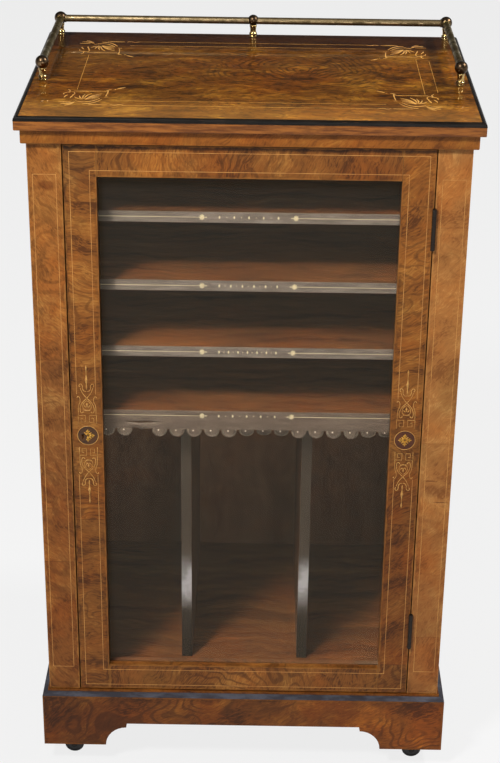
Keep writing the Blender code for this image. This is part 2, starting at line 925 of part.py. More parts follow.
def keyhole_cutters(owner):
    """A round hole with a slot under it, through the stile or into the lock case."""
    x = -door_half + keyhole_backset
    front = case_front - cut_overrun
    back = lock_y if owner == "case" else lock_y - lock_case_depth / 2 + seat_gap
    middle = (front + back) / 2
    length = back - front
    barrel_name = f"keyhole_round_{owner}"
    barrel = put_cutter(
        barrel_name, rod_mesh(barrel_name, keyhole_radius, length), (x, middle, lock_z),
        (QUARTER, 0.0, 0.0),
    )
    slot = box_cutter(
        f"keyhole_slot_{owner}",
        (x - keyhole_slot_width / 2, front, lock_z - keyhole_slot_length),
        (x + keyhole_slot_width / 2, back, lock_z),
    )
    return [barrel, slot]


def bolt_mortise():
    """Cutter for the bolt's mortise in the left pilaster."""
    edge = -(case_half - pilaster_width)
    up = bolt_height / 2 + seat_gap
    out = bolt_thickness / 2 + seat_gap
    return box_cutter(
        "bolt_mortise",
        (edge - mortise_depth, lock_y - out, lock_z - up),
        (edge + cut_overrun, lock_y + out, lock_z + up),
    )


def build_lock(axis):
    """Lock case in the stile, with its chamber, and the bolt that slides in it."""
    case = board(
        "lock_case", brass,
        (-door_half, lock_y - lock_case_depth / 2, lock_z - lock_case_height / 2),
        (-door_half + lock_case_width, lock_y + lock_case_depth / 2, lock_z + lock_case_height / 2),
        axis,
    )
    up = bolt_height / 2 + seat_gap
    out = bolt_thickness / 2 + seat_gap
    chamber = box_cutter(
        "bolt_chamber",
        (-door_half - cut_overrun, lock_y - out, lock_z - up),
        (-door_half + bolt_chamber_length, lock_y + out, lock_z + up),
    )
    boolean(case, chamber)
    for cutter in keyhole_cutters("case"):
        boolean(case, cutter)
    slide = put_axis("lock_bolt_axis", (-door_half, lock_y, lock_z), axis)
    board(
        "lock_bolt", brass,
        (-door_half, lock_y - bolt_thickness / 2, lock_z - bolt_height / 2),
        (-door_half + bolt_length, lock_y + bolt_thickness / 2, lock_z + bolt_height / 2), slide,
    )


clear_scene()
build_top()
build_carcase()
build_shelves()
build_dividers()
build_base()
build_castors()
build_gallery()
build_door()
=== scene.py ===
"""Looks of a glazed walnut music cabinet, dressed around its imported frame.

Metres, +Z up, the front towards -Y, as in the frame. Boards, leathers and metal fittings that the
frame shapes well keep their solids and get a finish here. Inlay, gilt work, turned brass, screws
and the scalloped leather are made here and ride on the frame's bodies.
"""

import json
import logging
import math
import random
from dataclasses import dataclass, replace
from enum import Enum
from typing import Callable, ClassVar, Iterable, Sequence

import bmesh
import bpy
from mathutils import Matrix, Vector


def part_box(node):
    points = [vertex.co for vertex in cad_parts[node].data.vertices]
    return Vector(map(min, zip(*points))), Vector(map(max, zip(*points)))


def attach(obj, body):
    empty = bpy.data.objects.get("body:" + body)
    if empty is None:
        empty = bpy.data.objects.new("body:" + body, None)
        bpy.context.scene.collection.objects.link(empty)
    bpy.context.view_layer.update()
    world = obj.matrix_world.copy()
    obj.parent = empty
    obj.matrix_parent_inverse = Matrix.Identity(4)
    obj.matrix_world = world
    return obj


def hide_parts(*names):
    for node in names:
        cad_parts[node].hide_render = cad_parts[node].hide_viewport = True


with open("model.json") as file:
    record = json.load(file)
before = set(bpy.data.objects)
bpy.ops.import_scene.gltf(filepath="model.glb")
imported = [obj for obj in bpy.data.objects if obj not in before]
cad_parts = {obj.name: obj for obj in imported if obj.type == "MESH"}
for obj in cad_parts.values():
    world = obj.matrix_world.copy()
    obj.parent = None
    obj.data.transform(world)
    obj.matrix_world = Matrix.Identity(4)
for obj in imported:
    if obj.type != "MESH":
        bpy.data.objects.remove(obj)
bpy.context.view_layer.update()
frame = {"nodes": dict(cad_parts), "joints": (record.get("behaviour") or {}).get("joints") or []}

logging.basicConfig(level=logging.INFO, format="%(message)s")
log = logging.getLogger("cabinet")

Node = bpy.types.Node
Socket = bpy.types.NodeSocket
Material = bpy.types.Material
Mesh = bpy.types.Mesh
Shape = bmesh.types.BMesh
Pair = tuple[float, float]
Triple = tuple[float, float, float]
Colour = Triple
Point = Triple
Stroke = Sequence[Triple]
Outline = Sequence[Pair]
Feed = object

MM = 0.001
WELD = 1e-6
FRONT = Matrix(((1, 0, 0, 0), (0, 0, -1, 0), (0, 1, 0, 0), (0, 0, 0, 1)))


def shown(red: int, green: int, blue: int) -> Colour:
    """Give the linear colour that a display shows as this 0 to 255 colour."""
    shares = (value / 255 for value in (red, green, blue))
    return tuple(s / 12.92 if s <= 0.04045 else ((s + 0.055) / 1.055) ** 2.4 for s in shares)


class Body(str, Enum):
    """Bodies of the frame that the pieces ride on."""

    CASE = "case"
    DOOR = "door"


class Slot(str, Enum):
    """Material slots of the record."""

    WALNUT = "walnut"
    TOP_WALNUT = "top_walnut"
    LEATHER = "leather"
    GALLERY = "gallery_brass"
    LOCK = "lock_brass"
    CASTOR = "castor_brass"
    WHEEL = "castor_wheel"
    HINGE = "hinge_metal"


class Grain(Enum):
    """Turns, in degrees, that bring a board's grain onto the pattern's X."""

    ACROSS = (0.0, 0.0, 0.0)
    UPRIGHT = (0.0, 90.0, 0.0)
    DEEP = (0.0, 0.0, -90.0)
    NEARLY_ACROSS = (0.0, -6.0, 0.0)
    GENTLE_RISE = (0.0, 28.0, 0.0)
    STEEP_RISE = (0.0, 56.0, 0.0)
    STEEP_FALL = (0.0, -58.0, 0.0)
    NEARLY_UPRIGHT = (0.0, 76.0, 0.0)


class Layer(float, Enum):
    """How far inlay stands out of its surface, so that no two layers share a plane."""

    GROUND = 0.0001
    STRING = 0.00012
    DRAWING = 0.00014
    OUTLINE = 0.00016
    FLOWER = 0.00018


class Graph:
    """A node tree with short ways to add and join nodes."""

    def __init__(self, tree: bpy.types.NodeTree) -> None:
        """Wrap a tree."""
        self.tree = tree

    def feed(self, socket: Socket, value: Feed) -> None:
        """Link or set an input.

        Args:
            socket: the input.
            value: a socket to link, a number, a vector or a colour.
        """
        if isinstance(value, Socket):
            self.tree.links.new(value, socket)
        elif socket.type == "RGBA":
            socket.default_value = (*value[:3], 1.0)
        else:
            socket.default_value = value

    def add(self, kind: str, inputs: dict | None = None, **settings: object) -> Node:
        """Add a node.

        Args:
            kind: the node's type.
            inputs: values or sockets by input name or index.
            settings: the node's own settings.

        Returns:
            The node.
        """
        node = self.tree.nodes.new(kind)
        for name, value in settings.items():
            setattr(node, name, value)
        for key, value in (inputs or {}).items():
            self.feed(node.inputs[key], value)
        return node

    def maths(self, operation: str, *values: Feed, clamp: bool = False) -> Socket:
        """Add a Math node and give its output."""
        node = self.add("ShaderNodeMath", dict(enumerate(values)), operation=operation)
        node.use_clamp = clamp
        return node.outputs[0]

    def times(self, *values: Feed) -> Socket:
        """Multiply values."""
        product = values[0]
        for value in values[1:]:
            product = self.maths("MULTIPLY", product, value)
        return product

    def vectors(self, operation: str, *values: Feed) -> Socket:
        """Add a Vector Math node and give its vector output."""
        node = self.add("ShaderNodeVectorMath", dict(enumerate(values)), operation=operation)
        return node.outputs[0]

    def vector(self, x: Feed, y: Feed, z: Feed = 0.0) -> Socket:
        """Make a vector of three numbers."""
        return self.add("ShaderNodeCombineXYZ", {0: x, 1: y, 2: z}).outputs[0]

    def cells(self, vector: Feed, scale: Feed, feature: str = "F1") -> Socket:
        """Add a Voronoi Texture and give its distance."""
        return self.add(
            "ShaderNodeTexVoronoi", {"Vector": vector, "Scale": scale}, feature=feature
        ).outputs["Distance"]

    def tinted(self, colour: Feed, by: Feed, factor: Feed = 1.0) -> Socket:
        """Multiply a colour by another."""
        return self.mix(factor, colour, by, "MULTIPLY")

    def pulled(self, vector: Feed, by: Feed) -> Socket:
        """Multiply a vector by another, part by part."""
        return self.vectors("MULTIPLY", vector, by)

    def length(self, vector: Feed) -> Socket:
        """Length of a vector."""
        node = self.add("ShaderNodeVectorMath", {0: vector}, operation="LENGTH")
        return node.outputs["Value"]

    def parts(self, vector: Feed) -> list[Socket]:
        """X, Y and Z of a vector."""
        return list(self.add("ShaderNodeSeparateXYZ", {0: vector}).outputs)

    def scaled(self, vector: Feed, factor: Feed) -> Socket:
        """Scale a vector by one number."""
        return self.add(
            "ShaderNodeVectorMath", {0: vector, "Scale": factor}, operation="SCALE"
        ).outputs[0]

    def noise(
        self, vector: Feed, scale: Feed, detail: float = 2.0, rough: float = 0.5,
        distortion: float = 0.0, colour: bool = False,
    ) -> Socket:
        """Add a Noise Texture and give its value, or its colour."""
        node = self.add(
            "ShaderNodeTexNoise",
            {"Vector": vector, "Scale": scale, "Detail": detail, "Roughness": rough,
             "Distortion": distortion},
        )
        return node.outputs["Color" if colour else "Fac"]

    def sway(self, vector: Feed, scale: float, reach: float) -> Socket:
        """A wandering offset, in metres."""
        drift = self.noise(vector, scale, 2.0, colour=True)
        return self.scaled(self.vectors("SUBTRACT", drift, (0.5, 0.5, 0.5)), reach)

    def step(self, value: Feed, low: Feed, high: Feed) -> Socket:
        """Turn a value smoothly from 0 at low to 1 at high."""
        return self.add(
            "ShaderNodeMapRange", {"Value": value, "From Min": low, "From Max": high},
            interpolation_type="SMOOTHSTEP",
        ).outputs[0]

    def spread(self, value: Feed, low: float, high: float) -> Socket:
        """Map a value of 0 to 1 onto low to high."""
        return self.add(
            "ShaderNodeMapRange", {"Value": value, "To Min": low, "To Max": high}
        ).outputs[0]

    def mix(self, factor: Feed, first: Feed, second: Feed, blend: str = "MIX") -> Socket:
        """Mix two colours."""
        node = self.add(
            "ShaderNodeMix", {0: factor, 6: first, 7: second}, data_type="RGBA", blend_type=blend
        )
        return node.outputs[2]

    def effect(self, name: str, inputs: dict) -> Node:
        """Place a shared effect group."""
        node = self.tree.nodes.new("ShaderNodeGroup")
        node.node_tree = bpy.data.node_groups[name]
        for key, value in inputs.items():
            self.feed(node.inputs[key], value)
        return node


class Effects:
    """Shared shader groups, built once."""

    FIGURE = "walnut figure"
    LEAVES = "veneer leaves"
    ARRIS = "arris wear"
    PATCH = "soft patch"
    METAL = "aged metal"
    HIDE = "leather grain"

    def build(self) -> None:
        """Build every group."""
        self.figure()
        self.leaves()
        self.arris()
        self.patch()
        self.metal()
        self.hide()

    @staticmethod
    def start(
        name: str, inputs: dict[str, str], outputs: dict[str, str]
    ) -> tuple[Graph, dict[str, Socket]]:
        """Begin a group.

        Args:
            name: the group's name.
            inputs: names of the inputs by kind: Vector, Float or Color.
            outputs: names of the outputs by kind.

        Returns:
            The graph and its inputs by name.
        """
        tree = bpy.data.node_groups.new(name, "ShaderNodeTree")
        for way, kinds in (("INPUT", inputs), ("OUTPUT", outputs)):
            for kind, names in kinds.items():
                for key in names.split():
                    tree.interface.new_socket(
                        name=key, in_out=way, socket_type=f"NodeSocket{kind}"
                    )
        graph = Graph(tree)
        return graph, dict(graph.add("NodeGroupInput").outputs.items())

    def figure(self) -> None:
        """Walnut figure: clouds, contour lines, fibres, flecks, ink streaks, eyes and pores."""
        g, take = self.start(
            self.FIGURE,
            {"Vector": "Vector Seed Turn", "Color": "Dark Mid Light",
             "Float": "Stretch Scale Draw Fine Rings Lines Flecks Streaks Burr"},
            {"Color": "Color", "Float": "Height Lustre"},
        )
        moved = g.vectors("ADD", take["Vector"], take["Seed"])
        turned = g.add(
            "ShaderNodeVectorRotate", {"Vector": moved, "Rotation": take["Turn"]},
            rotation_type="EULER_XYZ",
        ).outputs[0]
        bends = g.vectors("ADD", g.sway(turned, 6.0, 0.07), g.sway(turned, 22.0, 0.024))
        bent = g.vectors("ADD", turned, bends)
        pull = g.vector(1.0, take["Stretch"], take["Stretch"])
        drawn = g.scaled(g.pulled(bent, pull), take["Scale"])
        cloud = g.noise(drawn, 1.0, 4.0, 0.6)
        hills = g.noise(drawn, 0.42, 2.0, 0.45)
        rings = g.maths("SINE", g.times(hills, take["Rings"], math.tau))
        lines = g.times(
            g.step(rings, 0.15, 0.95), g.step(g.noise(turned, 8.0, 2.0), 0.40, 0.58)
        )
        short = g.maths("DIVIDE", take["Fine"], take["Draw"])
        strands = g.pulled(bent, g.vector(short, take["Fine"], take["Fine"]))
        fibre = g.noise(strands, 1.0, 3.0, 0.65)
        fleck = g.noise(strands, 0.9, 1.5, 0.6, 0.3)
        value = g.maths("MULTIPLY_ADD", g.maths("SUBTRACT", fibre, 0.5), 0.60, cloud)
        base = g.mix(g.step(value, 0.28, 0.50), take["Dark"], take["Mid"])
        base = g.mix(g.step(value, 0.50, 0.78), base, take["Light"])
        drift = g.noise(turned, 11.0, 3.0, 0.6)
        warm, cool = g.step(drift, 0.46, 0.66), g.step(drift, 0.46, 0.30)
        base = g.tinted(base, (1.16, 0.93, 0.66), g.times(warm, 0.7))
        base = g.tinted(base, (0.80, 0.88, 0.88), g.times(cool, 0.7))
        deep = g.mix(0.5, take["Dark"], (0.012, 0.006, 0.003))
        base = g.mix(g.times(lines, take["Lines"]), base, take["Dark"])
        base = g.mix(g.times(g.step(fleck, 0.54, 0.66), take["Flecks"]), base, deep)
        ink = g.noise(g.pulled(drawn, (0.6, 1.5, 1.5)), 1.0, 3.0, 0.55, 0.7)
        base = g.mix(g.times(g.step(ink, 0.60, 0.74), take["Streaks"]), base, deep)
        cells = g.cells(g.scaled(drawn, 2.3), 1.0)
        halo = g.maths("SINE", g.times(cells, 46.0))
        halo = g.maths(
            "MULTIPLY", g.times(halo, g.step(cells, 0.42, 0.1), take["Burr"]), 0.35, clamp=True
        )
        base = g.mix(halo, base, take["Dark"])
        base = g.mix(g.times(g.step(cells, 0.17, 0.05), take["Burr"]), base, deep)
        pores = g.noise(g.pulled(bent, (150.0, 1500.0, 1500.0)), 1.0, 1.0)
        pores = g.step(pores, 0.60, 0.70)
        base = g.mix(g.times(pores, 0.3), base, take["Dark"])
        height = g.maths("SUBTRACT", fibre, g.times(pores, 0.7))
        g.add("NodeGroupOutput", {"Color": base, "Height": height, "Lustre": value})

    def leaves(self) -> None:
        """Joined veneer leaves: each has its own figure and tone, with a fine joint between."""
        g, take = self.start(
            self.LEAVES, {"Vector": "Vector Along", "Float": "Pitch Start"},
            {"Vector": "Shift", "Float": "Tone Joint"},
        )
        run = g.add(
            "ShaderNodeVectorMath", {0: take["Vector"], 1: take["Along"]}, operation="DOT_PRODUCT"
        ).outputs["Value"]
        ripple = g.times(g.noise(take["Vector"], 60.0, 1.0), 0.0016)
        place = g.maths("SUBTRACT", g.maths("ADD", run, ripple), take["Start"])
        count = g.maths("DIVIDE", place, take["Pitch"])
        whole = g.maths("FLOOR", count)
        part = g.maths("SUBTRACT", count, whole)
        tone = g.add("ShaderNodeTexWhiteNoise", {"W": whole}, noise_dimensions="1D").outputs[0]
        nearest = g.maths("MINIMUM", part, g.maths("SUBTRACT", 1.0, part))
        joint = g.step(g.times(nearest, take["Pitch"]), 0.0009, 0.0002)
        shift = g.scaled((3.7, 1.9, 2.6), whole)
        g.add("NodeGroupOutput", {"Shift": shift, "Tone": tone, "Joint": joint})

    def arris(self) -> None:
        """Wear and grime along a board's arrises, from the distance to its second nearest face."""
        g, take = self.start(
            self.ARRIS, {"Vector": "Vector Middle Half", "Float": "Width"},
            {"Float": "Wear Grime"},
        )
        away = g.vectors("ABSOLUTE", g.vectors("SUBTRACT", take["Vector"], take["Middle"]))
        x, y, z = g.parts(g.vectors("SUBTRACT", take["Half"], away))
        second = g.maths(
            "MAXIMUM", g.maths("MINIMUM", x, y), g.maths("MINIMUM", g.maths("MAXIMUM", x, y), z)
        )
        broken = g.maths("SUBTRACT", g.noise(take["Vector"], 70.0, 4.0, 0.65), 0.52)
        reach = g.maths("MULTIPLY_ADD", broken, g.times(take["Width"], 5.0), second)
        wear = g.step(reach, take["Width"], 0.0)
        smudge = g.maths("MULTIPLY_ADD", broken, 0.022, second)
        patchy = g.step(g.noise(take["Vector"], 24.0, 2.0), 0.40, 0.60)
        grime = g.times(g.step(smudge, 0.0062, 0.0008), patchy)
        g.add("NodeGroupOutput", {"Wear": wear, "Grime": grime})

    def patch(self) -> None:
        """A soft, ragged oval round a point."""
        g, take = self.start(
            self.PATCH, {"Vector": "Vector Centre Radii"}, {"Float": "Mask"}
        )
        off = g.vectors("SUBTRACT", take["Vector"], take["Centre"])
        away = g.vectors("DIVIDE", off, take["Radii"])
        ragged = g.maths("SUBTRACT", g.noise(take["Vector"], 75.0, 3.0, 0.6), 0.5)
        reach = g.maths("MULTIPLY_ADD", ragged, 1.5, g.length(away))
        g.add("NodeGroupOutput", {"Mask": g.step(reach, 1.15, 0.40)})

    def metal(self) -> None:
        """Aged metal: patina with rubbed patches, fine scratches and pits."""
        g, take = self.start(
            self.METAL,
            {"Vector": "Vector", "Color": "Patina Rubbed", "Float": "Share Scale Dull"},
            {"Color": "Color", "Float": "Roughness Height"},
        )
        patch = g.noise(take["Vector"], take["Scale"], 5.0, 0.62, 0.4)
        edge = g.maths("SUBTRACT", 0.74, g.times(take["Share"], 0.46))
        rub = g.step(patch, g.maths("SUBTRACT", edge, 0.13), g.maths("ADD", edge, 0.13))
        specks = g.step(g.noise(take["Vector"], 900.0, 2.0), 0.62, 0.74)
        colour = g.mix(rub, take["Patina"], take["Rubbed"])
        g.add("NodeGroupOutput", {
            "Color": g.mix(g.times(specks, 0.45), colour, (0.02, 0.014, 0.008)),
            "Roughness": g.maths("ADD", g.spread(rub, 0.46, 0.24), take["Dull"]),
            "Height": g.maths("SUBTRACT", patch, g.times(specks, 0.5)),
        })

    def hide(self) -> None:
        """Leather grain: pebbled cells, creases and faded streaks."""
        g, take = self.start(
            self.HIDE, {"Vector": "Vector", "Color": "Body Faded"},
            {"Color": "Color", "Float": "Height"},
        )
        place = g.vectors("ADD", take["Vector"], g.sway(take["Vector"], 300.0, 0.0012))
        pebble = g.step(g.cells(place, 1500.0, "DISTANCE_TO_EDGE"), 0.0, 0.22)
        fade = g.noise(g.pulled(place, (34.0, 34.0, 240.0)), 1.0, 4.0, 0.6)
        crease = g.step(g.noise(g.pulled(place, (1.0, 1.0, 3.0)), 160.0, 3.0), 0.6, 0.7)
        colour = g.mix(g.step(fade, 0.36, 0.66), take["Body"], take["Faded"])
        gaps = g.times(g.maths("SUBTRACT", 1.0, pebble), 0.35)
        colour = g.mix(gaps, colour, (0.03, 0.024, 0.02))
        g.add("NodeGroupOutput", {
            "Color": g.mix(g.times(crease, 0.3), colour, take["Body"]),
            "Height": g.maths("SUBTRACT", pebble, g.times(crease, 0.6)),
        })


def new_material(name: str) -> tuple[Material, Graph, Node, Socket]:
    """Start a material.

    Args:
        name: its name.

    Returns:
        The material, its graph, its Principled shader and its Object coordinates.
    """
    material = bpy.data.materials.new(name)
    material.use_nodes = True
    graph = Graph(material.node_tree)
    shader = material.node_tree.nodes["Principled BSDF"]
    place = graph.add("ShaderNodeTexCoord").outputs["Object"]
    return material, graph, shader, place


def polished(shader: Node, level: float, coat: float, coat_rough: float = 0.15) -> None:
    """Set the gloss of a ground and of the polish over it."""
    shader.inputs["Specular IOR Level"].default_value = level
    shader.inputs["Coat Weight"].default_value = coat
    shader.inputs["Coat Roughness"].default_value = coat_rough
    shader.inputs["Coat IOR"].default_value = 1.45


def bumped(graph: Graph, shader: Node, height: Feed, strength: float, deep: float) -> None:
    """Feed a height to a shader's Normal through a Bump node."""
    bump = graph.add("ShaderNodeBump", {"Height": height, "Strength": strength, "Distance": deep})
    graph.feed(shader.inputs["Normal"], bump.outputs[0])


def surfaced(graph: Graph, shader: Node, colour: Feed, rough: Feed) -> None:
    """Feed a shader's colour and roughness."""
    graph.feed(shader.inputs["Base Color"], colour)
    graph.feed(shader.inputs["Roughness"], rough)


def blended(graph: Graph, share: Feed, first: Node, second: Node) -> None:
    """Show a shader with a share of a second one in its material."""
    both = graph.add(
        "ShaderNodeMixShader", {0: share, 1: first.outputs[0], 2: second.outputs[0]}
    )
    end = graph.tree.nodes["Material Output"]
    graph.feed(end.inputs["Surface"], both.outputs[0])


def arrises(g: Graph, place: Feed, name: str, width: float) -> Node:
    """Place the masks of wear and grime along a CAD node's arrises.

    Args:
        g: the material's graph.
        place: its Object coordinates.
        name: the node's name.
        width: reach of the wear.

    Returns:
        The group's node, with the outputs Wear and Grime.
    """
    low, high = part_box(name)
    return g.effect(
        Effects.ARRIS,
        {"Vector": place, "Middle": (low + high) / 2, "Half": (high - low) / 2, "Width": width},
    )


def dress_node(name: str, material: Material) -> None:
    """Give a CAD node its one material."""
    data = frame["nodes"][name].data
    data.materials.clear()
    data.materials.append(material)


@dataclass(frozen=True)
class Patch:
    """A patch of another tone, painted light or painted shade in a veneer.

    Attributes:
        centre: its middle.
        radii: its half sizes.
        tint: what it multiplies the colour by.
    """

    centre: Point
    radii: Point
    tint: Colour


def spot(x: float, z: float, half_x: float, half_z: float, tint: Colour) -> Patch:
    """A patch on the cabinet's front, through the depth of its boards."""
    return Patch((x, -0.19, z), (half_x, 1, half_z), tint)


@dataclass(frozen=True)
class Veneer:
    """A walnut veneer or board.

    Attributes:
        dark: colour of the darkest figure.
        mid: main colour.
        light: colour of the lightest figure.
        stretch: how much longer than wide the figure is.
        scale: size of the figure, in repeats a metre.
        draw: how much longer than wide the fibres are.
        fine: fibres a metre.
        rings: contour lines in the figure.
        lines: strength of the contour lines.
        flecks: strength of the short dark flecks.
        streaks: strength of the ink streaks.
        burr: strength of the eyes.
        rough: roughness of the ground.
        level: gloss of the ground.
        coat: weight of the polish.
        coat_rough: roughness of the polish.
        wear: strength of the rubbed arrises.
        wear_width: reach of the rubbed arrises.
        grime: strength of the grime along the arrises.
        tones: how far the leaves' tones depart from each other.
    """

    FIGURED: ClassVar[tuple[str, ...]] = (
        "stretch", "scale", "draw", "fine", "rings", "lines", "flecks", "streaks", "burr",
        "dark", "mid", "light",
    )

    dark: Colour
    mid: Colour
    light: Colour
    stretch: float = 2.6
    scale: float = 9.0
    draw: float = 9.0
    fine: float = 500.0
    rings: float = 10.0
    lines: float = 0.4
    flecks: float = 0.4
    streaks: float = 0.4
    burr: float = 0.0
    rough: float = 0.42
    level: float = 0.15
    coat: float = 0.1
    coat_rough: float = 0.15
    wear: float = 0.6
    wear_width: float = 0.0020
    grime: float = 0.5
    tones: float = 0.06

    def dress(
        self, nodes: Iterable[str], grain: Grain, leaf: float = 0.0, along: Point = (0, 0, 1),
        start: float = 0.0, patches: Sequence[Patch] = (), extra: Callable | None = None,
    ) -> None:
        """Finish CAD nodes, each with its own figure.

        Args:
            nodes: names of the nodes.
            grain: how the grain runs.
            leaf: length of a veneer leaf, or zero for one leaf.
            along: direction in which the leaves follow each other.
            start: where a joint between leaves lies.
            patches: patches of another tone, some of them painted light and shade.
            extra: a function of graph, colour and place that gives the final colour.
        """
        for name in nodes:
            material, g, shader, place = new_material(f"{name}_finish")
            seed = random.Random(name).uniform
            shift = Vector((seed(-9, 9), seed(-9, 9), seed(-9, 9)))
            vector: Feed = place
            if leaf:
                leaves = g.effect(
                    Effects.LEAVES,
                    {"Vector": place, "Along": along, "Pitch": leaf, "Start": start},
                )
                vector = g.vectors("ADD", place, leaves.outputs["Shift"])
            wood = g.effect(
                Effects.FIGURE,
                {"Vector": vector, "Seed": shift, "Turn": [math.radians(a) for a in grain.value],
                 **{field.capitalize(): getattr(self, field) for field in self.FIGURED}},
            )
            colour = wood.outputs["Color"]
            if leaf:
                tone = g.spread(leaves.outputs["Tone"], 1 - self.tones, 1 + self.tones)
                tint = g.add("ShaderNodeCombineColor", {0: tone, 1: tone, 2: tone}).outputs[0]
                colour = g.tinted(colour, tint)
                colour = g.mix(g.times(leaves.outputs["Joint"], 0.6), colour, self.dark)
            for patch in patches:
                mask = g.effect(
                    Effects.PATCH,
                    {"Vector": place, "Centre": patch.centre, "Radii": patch.radii},
                ).outputs["Mask"]
                colour = g.mix(mask, colour, g.tinted(colour, patch.tint))
            edges = arrises(g, place, name, self.wear_width).outputs
            soiled = g.tinted(colour, (0.42, 0.36, 0.30))
            colour = g.mix(g.times(edges["Grime"], self.grime), colour, soiled)
            rub = g.times(edges["Wear"], self.wear)
            colour = g.mix(rub, colour, g.mix(0.45, self.light, self.mid))
            if extra:
                colour = extra(g, colour, place)
            dull = g.maths("MULTIPLY_ADD", wood.outputs["Lustre"], -0.16, self.rough + 0.08)
            surfaced(g, shader, colour, g.maths("MULTIPLY_ADD", rub, 0.14, dull))
            polished(shader, self.level, self.coat, self.coat_rough)
            bumped(g, shader, wood.outputs["Height"], 0.2, 0.0001)
            dress_node(name, material)


@dataclass(frozen=True)
class Ebonised:
    """Blackened wood, rubbed brown on its arrises, with clouds of a second colour that is partly
    painted sheen.
    """

    black: Colour
    cloud_and_sheen: Colour
    rubbed: Colour = shown(96, 64, 44)
    wear_width: float = 0.0010

    def dress(self, name: str) -> None:
        """Finish a CAD node."""
        material, g, shader, place = new_material(f"{name}_finish")
        worn = arrises(g, place, name, self.wear_width).outputs["Wear"]
        cloud = g.noise(g.pulled(place, (24.0, 60.0, 60.0)), 1.0, 4.0, 0.6)
        colour = g.mix(g.step(cloud, 0.40, 0.68), self.black, self.cloud_and_sheen)
        colour = g.mix(g.times(worn, 0.3), colour, self.rubbed)
        surfaced(g, shader, colour, g.spread(cloud, 0.3, 0.5))
        fine = g.noise(g.pulled(place, (30.0, 260.0, 260.0)), 1.0, 3.0)
        polished(shader, 0.15, 0.08)
        bumped(g, shader, fine, 0.2, 0.0001)
        dress_node(name, material)


@dataclass(frozen=True)
class AgedMetal:
    """A metal with a patina and rubbed patches."""

    patina: Colour
    rubbed: Colour
    share: float = 0.5
    scale: float = 90.0
    metallic: float = 1.0
    dull: float = 0.0

    def material(self, name: str) -> Material:
        """Make the finish."""
        material, g, shader, place = new_material(name)
        aged = g.effect(
            Effects.METAL,
            {"Vector": place, "Patina": self.patina, "Rubbed": self.rubbed,
             "Share": self.share, "Scale": self.scale, "Dull": self.dull},
        )
        surfaced(g, shader, aged.outputs["Color"], aged.outputs["Roughness"])
        shader.inputs["Metallic"].default_value = self.metallic
        bumped(g, shader, aged.outputs["Height"], 0.25, 0.0002)
        return material


@dataclass(frozen=True)
class InlayWood:
    """A pale or dark wood let into the veneer, polished with it."""

    body: Colour
    shade: Colour

    def material(self, name: str) -> Material:
        """Make the finish."""
        material, g, shader, place = new_material(name)
        fine = g.noise(g.pulled(place, (180.0, 180.0, 900.0)), 1.0, 3.0, 0.6)
        patch = g.noise(place, 42.0, 3.0)
        value = g.maths("MULTIPLY_ADD", fine, 0.5, g.times(patch, 0.7))
        colour = g.mix(g.step(value, 0.42, 0.72), self.shade, self.body)
        surfaced(g, shader, colour, g.spread(patch, 0.32, 0.5))
        polished(shader, 0.2, 0.1)
        bumped(g, shader, fine, 0.15, 0.0001)
        return material


@dataclass(frozen=True)
class Leather:
    """Glued leather strip or fall."""

    body: Colour
    faded: Colour

    def material(self, name: str, extra: Callable) -> Material:
        """Make the finish.

        Args:
            name: the material's name.
            extra: a function of graph, colour and place that gives the final colour.

        Returns:
            The material.
        """
        material, g, shader, place = new_material(name)
        skin = g.effect(
            Effects.HIDE, {"Vector": place, "Body": self.body, "Faded": self.faded}
        )
        colour = extra(g, skin.outputs["Color"], place)
        surfaced(g, shader, colour, g.spread(skin.outputs["Height"], 0.72, 0.54))
        shader.inputs["Specular IOR Level"].default_value = 0.3
        bumped(g, shader, skin.outputs["Height"], 0.3, 0.0002)
        return material


@dataclass(frozen=True)
class Pane:
    """Old clear sheet glass, faintly uneven.

    Attributes:
        tint: colour of the light that passes.
        sheen: colour of its reflections.
        index: how much it bends light, low so that the shelves behind it stay free of noise.
    """

    tint: Colour = (0.96, 0.93, 0.87)
    sheen: Colour = (1.0, 0.72, 0.42)
    index: float = 1.20

    def dress(self, name: str) -> None:
        """Finish the pane, which lets lamp light through."""
        material, g, shader, place = new_material(f"{name}_finish")
        surfaced(g, shader, self.tint, 0.0)
        g.feed(shader.inputs["Specular Tint"], self.sheen)
        shader.inputs["Transmission Weight"].default_value = 0.993
        shader.inputs["IOR"].default_value = self.index
        bumped(g, shader, g.noise(place, 7.0, 1.0), 0.02, 0.002)
        clear = g.add("ShaderNodeBsdfTransparent", {"Color": self.tint})
        path = g.add("ShaderNodeLightPath")
        blended(g, path.outputs["Is Shadow Ray"], shader, clear)
        dress_node(name, material)


